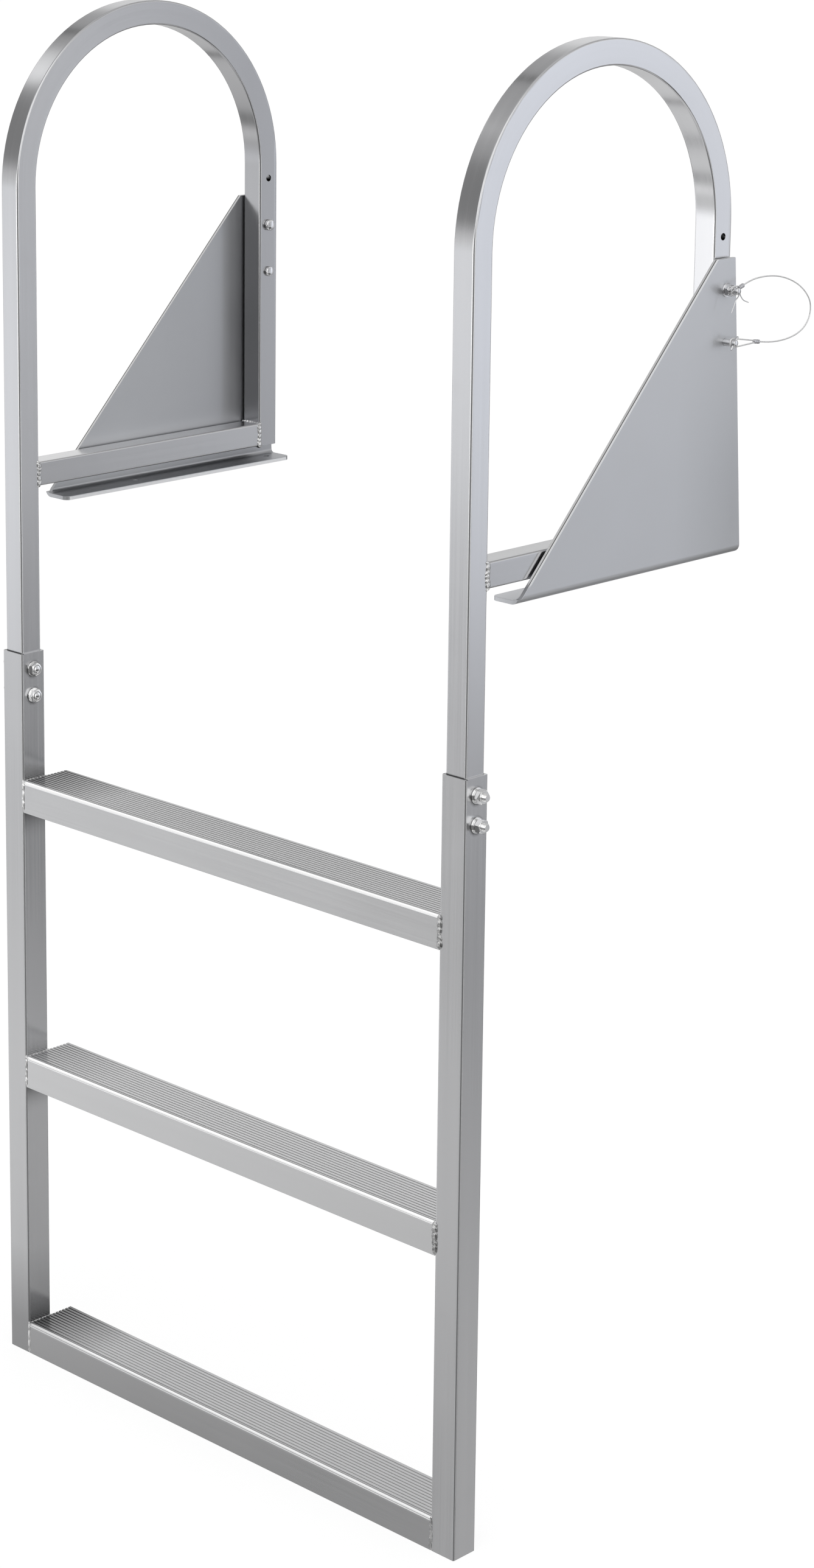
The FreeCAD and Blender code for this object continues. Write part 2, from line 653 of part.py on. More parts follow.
def eye(side, pin_y, pin_z, start, direction, neck):
    """Wire turned round a pin and crimped in a ferrule; start is where the
    ferrule begins and direction its unit vector, away from the pin."""
    x = V["wire_plane"]
    r = V["pin_size"] / 2 + 0.2 + WIRE / 2
    dy, dz = direction
    # strands run from inside the ferrule to tangent points on the circle
    sy, sz = start
    half = 0.8
    ends = []
    for sgn in (1, -1):
        ends.append((sy + dy * 3.0 - sgn * dz * half, sz + dz * 3.0 + sgn * dy * half))
    tang = []
    for sgn, (ey, ez) in zip((1, -1), ends):
        vy, vz = ey - pin_y, ez - pin_z
        dist = math.hypot(vy, vz)
        base = math.atan2(vz, vy)
        off = math.acos(r / dist)
        ang = base + sgn * off
        tang.append((pin_y + r * math.cos(ang), pin_z + r * math.sin(ang)))
    far = (pin_y - dy * r, pin_z - dz * r)
    P = lambda p: frame_point(side, x, p[0], p[1])
    path = Part.Wire([Part.LineSegment(P(ends[0]), P(tang[0])).toShape(),
                      Part.Arc(P(tang[0]), P(far), P(tang[1])).toShape(),
                      Part.LineSegment(P(tang[1]), P(ends[1])).toShape()])
    loop = sweep_round(path, WIRE)
    a = P(start)
    b = P((sy + dy * neck, sz + dz * neck))
    ferrule = axis_rod(a, b, 3.6)
    shape = loop.fuse(ferrule)
    return shape.removeSplitter()


def unit(a, b):
    d = math.hypot(b[0] - a[0], b[1] - a[1])
    return ((b[0] - a[0]) / d, (b[1] - a[1]) / d)


for name, side in (("left", -1), ("right", 1)):
    if side in LOOPS:
        LOOP = LOOPS[side]
        pts = [frame_point(side, V["wire_plane"], y, z) for y, z in LOOP]
        radii = []
        wire = round_wire(pts, radii=radii)
        tube = sweep_round(wire, WIRE)
        want = math.pi * (WIRE / 2) ** 2 * wire.Length
        print("%s lanyard: length %.1f mm, volume %.2f of %.2f, radii %.0f to %.0f mm"
              % (name, wire.Length, tube.Volume, want, min(radii), max(radii)))
        part_feature(name + "_lanyard", tube, side)
        # upper eye round the pivot bolt, lower eye round the locking pin's end
        d = unit(LOOP[0], LOOP[1])
        back = (-d[0], -d[1])
        length = 7.4
        start = (LOOP[0][0] - d[0] * length, LOOP[0][1] - d[1] * length)
        part_feature(name + "_upper_eye", eye(side, leg_y, V["pivot_height"], start, d, length), side)
        d = unit(LOOP[-1], LOOP[-2])
        length = 8.0
        start = (LOOP[-1][0] - d[0] * length, LOOP[-1][1] - d[1] * length)
        part_feature(name + "_lower_eye", eye(side, leg_y, V["pivot_height"] - V["pin_spacing"], start, d, length), side)

    # Split pin through the pivot bolt: ring in front, two legs bent down behind.
    x = V["split_plane"]
    zc = V["pivot_height"]
    cy, cz = -math.cos(math.radians(V["split_tilt"])), math.sin(math.radians(V["split_tilt"]))
    P = lambda dx, dy, dz: frame_point(side, x + dx, leg_y + dy, zc + dz)
    U = lambda k: P(0, k * cy, k * cz)
    stem = axis_rod(U(5.2), U(-4.9), 2.2)
    ring = Part.makeTorus(2.4, 0.8, U(6.9), Vector(1, 0, 0))
    leg_a = sweep_round(round_wire([P(0, 3.3, -1.9), P(0, 4.2, -5.2), P(-0.2, -0.4, -8.4), P(-0.4, -2.2, -13.0),
                                    P(-0.6, -6.1, -20.6)]), 1.1)
    leg_b = sweep_round(round_wire([P(0, 3.9, -1.0), P(0.2, 5.9, -4.6), P(0.4, 10.6, -9.6), P(0.6, 18.5, -12.6)]), 1.1)
    shape = stem.multiFuse([ring, leg_a, leg_b])
    part_feature(name + "_split_pin", shape, side)

# --------------------------------------------------------------------- checks
doc.recompute()
bad = []
for obj in doc.Objects:
    if "Invalid" in obj.State or "Error" in obj.State:
        bad.append((obj.Name, obj.State))
if bad:
    raise SystemExit("failed features: %r" % bad)
for obj in NODES:
    shape = obj.Shape
    if shape.isNull() or not shape.isValid() or not shape.Solids:
        raise SystemExit("bad shape: %s" % obj.Label)
    if len(shape.Solids) != 1:
        raise SystemExit("%s has %d solids" % (obj.Label, len(shape.Solids)))
total = 0.0
for obj in NODES:
    box = obj.Shape.BoundBox
    total += obj.Shape.Volume
    print("%-22s volume %10.1f  x %7.1f %7.1f  y %7.1f %7.1f  z %7.1f %7.1f"
          % (obj.Label, obj.Shape.Volume, box.XMin, box.XMax, box.YMin, box.YMax, box.ZMin, box.ZMax))
    obj.Shape.exportStep("parts/%s.step" % obj.Label)
print("%d pieces, %.0f cubic mm" % (len(NODES), total))
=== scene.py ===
import json
import math
import random

import bmesh
import bpy
from mathutils import Matrix, Vector, noise

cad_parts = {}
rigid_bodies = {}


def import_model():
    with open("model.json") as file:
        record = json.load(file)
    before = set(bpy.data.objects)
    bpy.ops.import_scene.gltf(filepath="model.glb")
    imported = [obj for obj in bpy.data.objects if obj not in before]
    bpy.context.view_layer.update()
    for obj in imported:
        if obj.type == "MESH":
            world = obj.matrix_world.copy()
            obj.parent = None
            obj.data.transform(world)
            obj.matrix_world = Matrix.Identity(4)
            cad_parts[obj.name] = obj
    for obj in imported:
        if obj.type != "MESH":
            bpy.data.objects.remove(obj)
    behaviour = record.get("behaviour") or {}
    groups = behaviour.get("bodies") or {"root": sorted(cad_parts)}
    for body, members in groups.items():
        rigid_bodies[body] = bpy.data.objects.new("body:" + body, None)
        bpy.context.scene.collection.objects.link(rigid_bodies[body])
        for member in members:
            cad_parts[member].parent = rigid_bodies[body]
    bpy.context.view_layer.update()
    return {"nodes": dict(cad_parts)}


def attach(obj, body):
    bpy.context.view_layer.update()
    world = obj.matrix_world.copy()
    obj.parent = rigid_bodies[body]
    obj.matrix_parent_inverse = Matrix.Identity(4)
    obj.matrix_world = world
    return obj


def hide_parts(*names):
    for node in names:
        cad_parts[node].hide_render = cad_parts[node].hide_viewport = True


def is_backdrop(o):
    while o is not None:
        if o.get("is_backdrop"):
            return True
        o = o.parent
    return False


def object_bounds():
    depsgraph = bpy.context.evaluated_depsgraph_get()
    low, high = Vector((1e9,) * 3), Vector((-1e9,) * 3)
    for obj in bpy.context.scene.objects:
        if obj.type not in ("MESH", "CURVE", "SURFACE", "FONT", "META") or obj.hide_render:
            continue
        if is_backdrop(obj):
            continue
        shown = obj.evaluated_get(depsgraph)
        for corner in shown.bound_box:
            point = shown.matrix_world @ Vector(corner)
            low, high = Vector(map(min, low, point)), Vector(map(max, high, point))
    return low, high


# Dock ladder with looped handrails on two deck brackets. Everything is in
# metres in the part's own frame; the helpers take millimetres measured on the
# ladder: x from its middle plane outwards, y back from the rails' front faces,
# z up from the rails' feet.

for thing in list(bpy.data.objects):
    bpy.data.objects.remove(thing)
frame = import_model()
random.seed(7)

MID, FRONT, FOOT = 312.0, -222.0, -920.0


def point(side, x, y, z):
    return Vector(((MID + side * x) / 1000.0, (FRONT + y) / 1000.0, (FOOT + z) / 1000.0))


# --------------------------------------------------------------------- camera
AZIMUTH, ELEVATION, ROLL = 43.726, 11.672, 0.698
az, el, ro = (math.radians(a) for a in (AZIMUTH, ELEVATION, ROLL))
forward = Vector((-math.sin(az) * math.cos(el), math.cos(az) * math.cos(el), -math.sin(el)))
right = Vector((math.cos(az), math.sin(az), 0.0))
up = right.cross(forward)
right_r = right * math.cos(ro) + up * math.sin(ro)
up_r = -right * math.sin(ro) + up * math.cos(ro)
cam_data = bpy.data.cameras.new("camera")
cam_data.sensor_width = 36.0
cam_data.lens = 79.483
cam_data.shift_x = 0.0
cam_data.shift_y = -0.1934
cam_data.clip_start = 0.05
cam_data.clip_end = 100.0
camera = bpy.data.objects.new("camera", cam_data)
bpy.context.scene.collection.objects.link(camera)
camera.matrix_world = Matrix((
    (right_r.x, up_r.x, -forward.x, 2.6699),
    (right_r.y, up_r.y, -forward.y, -2.42884),
    (right_r.z, up_r.z, -forward.z, 0.74294),
    (0, 0, 0, 1)))
bpy.context.scene.camera = camera
bpy.context.scene.view_settings.view_transform = "Standard"


# ------------------------------------------------------------------ materials
class Graph:
    """Short spelling for node trees."""

    def __init__(self, tree):
        self.tree = tree

    def add(self, kind, **settings):
        n = self.tree.nodes.new(kind)
        for k, v in settings.items():
            setattr(n, k, v)
        return n

    def join(self, source, target):
        self.tree.links.new(source, target)

    def put(self, socket, value):
        if hasattr(value, "is_output"):
            self.join(value, socket)
        else:
            socket.default_value = value

    def math(self, op, a, b=0.0, c=None, clamp=False):
        n = self.add("ShaderNodeMath", operation=op, use_clamp=clamp)
        self.put(n.inputs[0], a)
        self.put(n.inputs[1], b)
        if c is not None:
            self.put(n.inputs[2], c)
        return n.outputs[0]

    def combine(self, x, y, z):
        n = self.add("ShaderNodeCombineXYZ")
        for s, v in zip(n.inputs, (x, y, z)):
            self.put(s, v)
        return n.outputs[0]

    def noise(self, vector, scale, detail=2.0, rough=0.5):
        n = self.add("ShaderNodeTexNoise", noise_dimensions="3D")
        self.join(vector, n.inputs["Vector"])
        n.inputs["Scale"].default_value = scale
        n.inputs["Detail"].default_value = detail
        n.inputs["Roughness"].default_value = rough
        return n.outputs["Fac"]

    def spread(self, value, a, b, lo=0.0, hi=1.0):
        n = self.add("ShaderNodeMapRange", clamp=True)
        self.put(n.inputs["Value"], value)
        n.inputs["From Min"].default_value = a
        n.inputs["From Max"].default_value = b
        n.inputs["To Min"].default_value = lo
        n.inputs["To Max"].default_value = hi
        return n.outputs["Result"]

    def mix(self, factor, a, b, mode="MIX"):
        n = self.add("ShaderNodeMix", data_type="RGBA", blend_type=mode)
        self.put(n.inputs[0], factor)
        self.put(n.inputs[6], a)
        self.put(n.inputs[7], b)
        return n.outputs[2]


def grey(r, g=None, b=None):
    return (r, r if g is None else g, r if b is None else b, 1.0)


def grain_space(g, grain):
    """Coordinates whose third axis runs along the metal's grain, in metres."""
    coord = g.add("ShaderNodeTexCoord").outputs["Object"]
    s = g.add("ShaderNodeSeparateXYZ")
    g.join(coord, s.inputs[0])
    x, y, z = s.outputs
    if grain == "z":
        return coord, g.combine(x, y, z)
    if grain == "x":
        return coord, g.combine(y, z, x)
    if grain == "y":
        return coord, g.combine(x, z, y)
    # along the handrail: straight legs, then round the bend
    yc = (FRONT + 15.0 + 167.5) / 1000.0
    zc = (FOOT + 1245.0) / 1000.0
    dy = g.math("ABSOLUTE", g.math("SUBTRACT", y, yc))
    dz = g.math("SUBTRACT", z, zc)
    dzp = g.math("MAXIMUM", dz, 0.0)
    radius = g.math("SQRT", g.math("ADD", g.math("MULTIPLY", dy, dy), g.math("MULTIPLY", dzp, dzp)))
    turn = g.math("MULTIPLY", g.math("ARCTAN2", dzp, dy), 0.1675)
    along = g.math("ADD", turn, g.math("MINIMUM", dz, 0.0))
    return coord, g.combine(x, radius, along)


def stretched(g, space, across, along):
    n = g.add("ShaderNodeVectorMath", operation="MULTIPLY")
    g.join(space, n.inputs[0])
    n.inputs[1].default_value = (across, across, along)
    return n.outputs[0]


def brushed(name, grain, tone, tone2, rough, rough2, bump=0.35, fine=1.0, streaks=1.0, specks=0.0, nosing=False, rear=1.0,
            painted_rail_shade=False, painted_plate_light=False, top=False):
    """Satin metal drawn or brushed along one direction."""
    m = bpy.data.materials.new(name)
    m.use_nodes = True
    g = Graph(m.node_tree)
    m.node_tree.nodes.clear()
    out = g.add("ShaderNodeOutputMaterial")
    b = g.add("ShaderNodeBsdfPrincipled")
    g.join(b.outputs[0], out.inputs[0])
    b.inputs["Metallic"].default_value = 1.0
    coord, space = grain_space(g, grain)
    hair = g.noise(stretched(g, space, 3200.0 * fine, 16.0), 1.0, 2.0, 0.6)
    lines = g.noise(stretched(g, space, 520.0 * fine, 3.2), 1.0, 3.0, 0.55)
    bands = g.noise(stretched(g, space, 95.0, 1.3), 1.0, 2.0, 0.5)
    cloud = g.noise(coord, 7.5, 3.0, 0.55)
    dust = g.noise(coord, 420.0, 2.0, 0.6)
    mixed = g.math("ADD", g.math("MULTIPLY", lines, 0.45 * streaks), g.math("MULTIPLY", bands, 0.35 * streaks))
    mixed = g.math("ADD", mixed, g.math("MULTIPLY", cloud, 0.35 + 0.8 * (1.0 - streaks)))
    tone_share = g.spread(mixed, 0.42, 0.74)
    colour = g.mix(tone_share, tone, tone2)
    # faint smudges from handling
    smudge = g.spread(g.noise(coord, 23.0, 4.0, 0.62), 0.58, 0.80, 0.0, 0.10)
    colour = g.mix(smudge, colour, grey(tone[0] * 0.72, tone[1] * 0.72, tone[2] * 0.73))
    if specks:
        spot = g.spread(dust, 0.66, 0.74, 0.0, specks)
        colour = g.mix(spot, colour, grey(tone[0] * 0.55))
    if rear != 1.0:
        # painted reflection: the left loop is painted darker towards its rear leg and the right loop's rear leg is
        # painted lighter, standing in for reflections
        y = g.add("ShaderNodeSeparateXYZ")
        g.join(coord, y.inputs[0])
        if rear > 1.0:
            share = g.math("MULTIPLY", g.spread(y.outputs[1], 0.098, 0.113), g.spread(y.outputs[0], 0.6342, 0.6334))
        else:
            share = g.spread(y.outputs[1], -0.17, 0.10)
        colour = g.mix(share, colour, grey(tone[0] * rear, tone[1] * rear, tone[2] * rear))
    if top:
        # painted highlight: the left tube's top face is painted lighter
        f = g.add("ShaderNodeSeparateXYZ")
        g.join(coord, f.inputs[0])
        lit_top = g.math("MULTIPLY", g.spread(f.outputs[0], 0.3, 0.28), g.spread(f.outputs[2], 0.0444, 0.0448))
        colour = g.mix(lit_top, colour, grey(0.80, 0.80, 0.81))
    if painted_plate_light:
        # painted light: the right plate is painted brighter towards its front and higher up, and the left plate is
        # painted duller low down towards its rear
        f = g.add("ShaderNodeSeparateXYZ")
        g.join(coord, f.inputs[0])
        right = g.spread(f.outputs[0], 0.3, 0.32)
        lit_fore = g.math("MULTIPLY", right, g.spread(f.outputs[1], 0.145, 0.06))
        colour = g.mix(lit_fore, colour, grey(tone[0] * 1.22, tone[1] * 1.22, tone[2] * 1.23))
        lit_tall = g.math("MULTIPLY", right, g.spread(f.outputs[2], 0.08, 0.29, 0.0, 0.7))
        colour = g.mix(lit_tall, colour, grey(tone[0] * 1.34, tone[1] * 1.34, tone[2] * 1.35))
        down = g.math("MULTIPLY", g.spread(f.outputs[0], 0.3, 0.28),
                      g.math("MULTIPLY", g.spread(f.outputs[1], -0.06, 0.08), g.spread(f.outputs[2], 0.28, 0.03, 0.5, 1.0)))
        colour = g.mix(down, colour, grey(tone[0] * 0.84, tone[1] * 0.84, tone[2] * 0.85))
        # sheared edges: painted highlights as bright lips on both sides of a painted dark line in the middle
        depth = g.math("ABSOLUTE", g.math("SUBTRACT", f.outputs[0], 0.312))
        high = g.spread(f.outputs[2], 0.014, 0.017)
        lip_highlights = g.math("MULTIPLY", high, g.math("MULTIPLY", g.spread(depth, 0.3246, 0.3249), g.spread(depth, 0.32846, 0.3283)))
        core = g.math("MULTIPLY", high, g.math("MULTIPLY", g.spread(depth, 0.3269, 0.3272), g.spread(depth, 0.3281, 0.3279)))
        # distance behind the sloping edge, for a painted highlight on the roll of its outer corner
        slant = g.math("SUBTRACT", g.math("MULTIPLY", f.outputs[2], 0.6848), g.math("MULTIPLY", g.math("ADD", f.outputs[1], 0.160), 0.7287))
        roll_highlight = g.math("MULTIPLY", high, g.math("MULTIPLY", g.spread(depth, 0.3280, 0.3282), g.spread(slant, -0.0021, -0.0018)))
        # painted highlight on the flange's cut front face
        front = g.math("MULTIPLY", g.spread(depth, 0.2958, 0.2956), g.spread(f.outputs[2], 0.0036, 0.0032))
        colour = g.mix(g.math("MAXIMUM", lip_highlights, front), colour, grey(0.95))
        colour = g.mix(core, colour, grey(0.16))
        colour = g.mix(roll_highlight, colour, grey(0.98))
    if painted_rail_shade:
        # painted shade: duller towards the left foot, and a dark line painted on the rails' rims where the handrails go
        # in, for the shadow in the gap
        f = g.add("ShaderNodeSeparateXYZ")
        g.join(coord, f.inputs[0])
        low = g.math("MULTIPLY", g.spread(f.outputs[2], -0.80, -0.885), g.spread(f.outputs[0], 0.2, 0.1))
        colour = g.mix(low, colour, grey(tone[0] * 0.68, tone[1] * 0.68, tone[2] * 0.68))
        gap_shadow = g.math("MULTIPLY", g.spread(f.outputs[2], -0.1526, -0.1523),
                      g.math("MULTIPLY", g.spread(f.outputs[1], -0.2208, -0.2206), g.spread(f.outputs[1], -0.2190, -0.2192)))
        colour = g.mix(gap_shadow, colour, grey(0.06))
        # painted shadow round the washers of the sleeve bolts, broken up by noise
        side_y = g.math("SUBTRACT", f.outputs[1], (FRONT + 15.0) / 1000.0)
        near = None
        for bolt_z in (751.0, 723.0):
            side_z = g.math("SUBTRACT", f.outputs[2], (FOOT + bolt_z - 0.8) / 1000.0)
            far = g.math("SQRT", g.math("ADD", g.math("MULTIPLY", side_y, side_y), g.math("MULTIPLY", side_z, side_z)))
            ring = g.spread(far, 0.0112, 0.0076, 0.0, 1.0)
            near = ring if near is None else g.math("MAXIMUM", near, ring)
        near = g.math("MULTIPLY", g.math("MULTIPLY", near, near), g.spread(g.noise(coord, 500.0, 3.0, 0.6), 0.30, 0.52, 0.55, 1.0))
        colour = g.mix(g.math("MULTIPLY", near, 0.85), colour, grey(0.13))
        # painted shade beside the treads on the left rail's inner face: dark just below each tread and patchy dark just
        # above it
        step = g.math("MULTIPLY", g.math("FRACT", g.math("DIVIDE", g.math("SUBTRACT", f.outputs[2], FOOT / 1000.0), 0.3)), 300.0)
        inner = g.math("MULTIPLY", g.spread(f.outputs[0], 0.0165, 0.0169), g.spread(f.outputs[0], 0.0175, 0.0171))
        under = g.math("POWER", g.spread(step, 268.0, 300.0), 2.0)
        over = g.math("MULTIPLY", g.spread(step, 48.0, 34.0), g.spread(step, 33.0, 34.0))
        patch = g.spread(g.noise(coord, 900.0, 3.0, 0.6), 0.40, 0.60)
        painted_tread_shade = g.math("MULTIPLY", inner, g.math("ADD", g.math("MULTIPLY", under, 0.85), g.math("MULTIPLY", g.math("MULTIPLY", g.math("MULTIPLY", over, over), patch), 0.55)))
        colour = g.mix(painted_tread_shade, colour, grey(0.10))
    r = g.math("ADD", g.math("MULTIPLY", lines, 0.6 * streaks), g.math("MULTIPLY", cloud, 1.0 - 0.6 * streaks))
    gloss = g.spread(r, 0.3, 0.7, rough, rough2)
    if nosing:
        # the treads' rounded front edges are worn bright; the masks here also paint light and shade into the treads
        s = g.add("ShaderNodeSeparateXYZ")
        g.join(coord, s.inputs[0])
        level = g.math("MULTIPLY", g.math("FRACT", g.math("DIVIDE", g.math("SUBTRACT", s.outputs[2], FOOT / 1000.0), 0.3)), 300.0)
        upper = g.spread(level, 31.8, 33.0)
        # painted shade: the tread tops are painted darker towards their left ends, less so on the middle tread, and the
        # bottom tread's front face is painted duller
        end_shade_amount = g.spread(g.math("ABSOLUTE", g.math("ADD", s.outputs[2], 0.6)), 0.10, 0.20, 0.40, 1.0)
        # painted shade: the top tread's top face is painted darker
        top_one = g.math("MULTIPLY", g.spread(s.outputs[2], -0.45, -0.40), upper)
        colour = g.mix(top_one, colour, grey(tone[0] * 0.86, tone[1] * 0.86, tone[2] * 0.86))
        end = g.math("MULTIPLY", g.math("MULTIPLY", g.spread(s.outputs[0], 0.125, 0.02), upper), end_shade_amount)
        colour = g.mix(end, colour, grey(tone[0] * 0.34, tone[1] * 0.34, tone[2] * 0.34))
        front = g.math("MULTIPLY", g.spread(s.outputs[2], -0.887, -0.892), g.spread(s.outputs[1], -0.2195, -0.2200))
        colour = g.mix(front, colour, grey(tone[0] * 0.74, tone[1] * 0.74, tone[2] * 0.74))
        # painted light: the groove floors are painted lighter, softening the shade in them
        lit_groove = g.math("MULTIPLY", g.math("MULTIPLY", g.spread(level, 31.6, 31.8), g.spread(level, 33.85, 33.75)),
                        g.spread(s.outputs[1], -0.2178, -0.2174))
        colour = g.mix(g.math("MULTIPLY", lit_groove, g.math("SUBTRACT", 1.0, end)), colour, grey(0.745))
        worn = g.math("MULTIPLY", g.spread(level, 29.7, 30.5), g.spread(s.outputs[1], -0.21785, -0.2181))
        # painted shade: the bottom tread's worn edge is painted duller
        worn = g.math("MULTIPLY", worn, g.spread(s.outputs[2], -0.85, -0.80, 0.45, 1.0))
        colour = g.mix(worn, colour, grey(0.97))
        gloss = g.math("ADD", g.math("MULTIPLY", gloss, g.math("SUBTRACT", 1.0, g.math("MULTIPLY", worn, 0.35))), 0.0)
    g.join(colour, b.inputs["Base Color"])
    g.join(gloss, b.inputs["Roughness"])
    height = g.math("ADD", g.math("MULTIPLY", hair, 0.55), g.math("MULTIPLY", lines, 1.0))
    height = g.math("ADD", height, g.math("MULTIPLY", dust, 0.12))
    bp = g.add("ShaderNodeBump")
    bp.inputs["Strength"].default_value = bump
    bp.inputs["Distance"].default_value = 0.00006
    g.join(height, bp.inputs["Height"])
    g.join(bp.outputs[0], b.inputs["Normal"])
    return m


def machined(name, tone, tone2, rough, rough2, bump=0.25):
    """Plated or turned steel, without a direction."""
    m = bpy.data.materials.new(name)
    m.use_nodes = True
    g = Graph(m.node_tree)
    m.node_tree.nodes.clear()
    out = g.add("ShaderNodeOutputMaterial")
    b = g.add("ShaderNodeBsdfPrincipled")
    g.join(b.outputs[0], out.inputs[0])
    b.inputs["Metallic"].default_value = 1.0
    coord = g.add("ShaderNodeTexCoord").outputs["Object"]
    big = g.noise(coord, 160.0, 3.0, 0.6)
    small = g.noise(coord, 1500.0, 3.0, 0.6)
    g.join(g.mix(g.spread(big, 0.35, 0.68), tone, tone2), b.inputs["Base Color"])
    g.join(g.spread(g.math("ADD", g.math("MULTIPLY", big, 0.5), g.math("MULTIPLY", small, 0.5)), 0.35, 0.65, rough, rough2),
           b.inputs["Roughness"])
    bp = g.add("ShaderNodeBump")
    bp.inputs["Strength"].default_value = bump
    bp.inputs["Distance"].default_value = 0.00005
    g.join(small, bp.inputs["Height"])
    g.join(bp.outputs[0], b.inputs["Normal"])
    return m


MAT = {
    # painted shade: the rail finish paints shade at the left foot, at the sleeve joints, round the washers and beside
    # the treads
    "rail": brushed("rail_aluminium", "z", grey(0.605, 0.607, 0.616), grey(0.640, 0.642, 0.652), 0.20, 0.26, bump=0.06,
                    painted_rail_shade=True),
    # painted reflection: the two handrail finishes differ only in the rear value, which paints the left rear leg darker
    # and the right one lighter
    "handrail": brushed("handrail_aluminium", "loop", grey(0.650, 0.652, 0.665), grey(0.690, 0.692, 0.706), 0.18, 0.23,
                        bump=0.05, rear=0.74),
    "handrail_right": brushed("handrail_aluminium_right", "loop", grey(0.650, 0.652, 0.665), grey(0.690, 0.692, 0.706), 0.18, 0.23,
                              bump=0.05, rear=1.32),
    # painted highlight: top=True paints the left cross tube's top face lighter
    "cross": brushed("cross_tube_aluminium", "y", grey(0.560, 0.562, 0.572), grey(0.595, 0.597, 0.607), 0.20, 0.27, bump=0.05,
                     top=True),
    # painted light and shade: the tread finish paints the tread ends, the top tread, the bottom front and the grooves
    "tread": brushed("tread_aluminium", "x", grey(0.665, 0.666, 0.673), grey(0.700, 0.701, 0.709), 0.20, 0.26, bump=0.05, nosing=True),
    # painted light: the plate finish paints light, shade and edge highlights into the brackets
    "sheet": brushed("bracket_aluminium", "y", grey(0.553, 0.561, 0.576), grey(0.593, 0.601, 0.617), 0.36, 0.42, bump=0.02, streaks=0.15,
                     painted_plate_light=True),
    "weld": machined("weld_aluminium", grey(0.56), grey(0.90), 0.12, 0.24, 0.35),
    # painted shade: a darker, rougher copy of the weld finish, for the right-hand tread welds
    "weld_painted_shade": machined("weld_aluminium_painted_shade", grey(0.26), grey(0.66), 0.16, 0.30, 0.4),
    "bolt": machined("bolt_steel", grey(0.90, 0.90, 0.90), grey(0.97, 0.97, 0.97), 0.04, 0.08, 0.06),
    "pin": machined("pin_steel", grey(0.66, 0.66, 0.67), grey(0.84, 0.84, 0.85), 0.05, 0.10, 0.06),
    "wire": machined("wire_steel", grey(0.93, 0.93, 0.93), grey(0.98, 0.98, 0.98), 0.26, 0.36),
    "ferrule": machined("ferrule_metal", grey(0.50, 0.50, 0.52), grey(0.66, 0.66, 0.68), 0.22, 0.34, 0.5),
}


# -------------------------------------------------------------- mesh building
def link(o):
    bpy.context.scene.collection.objects.link(o)
    return o


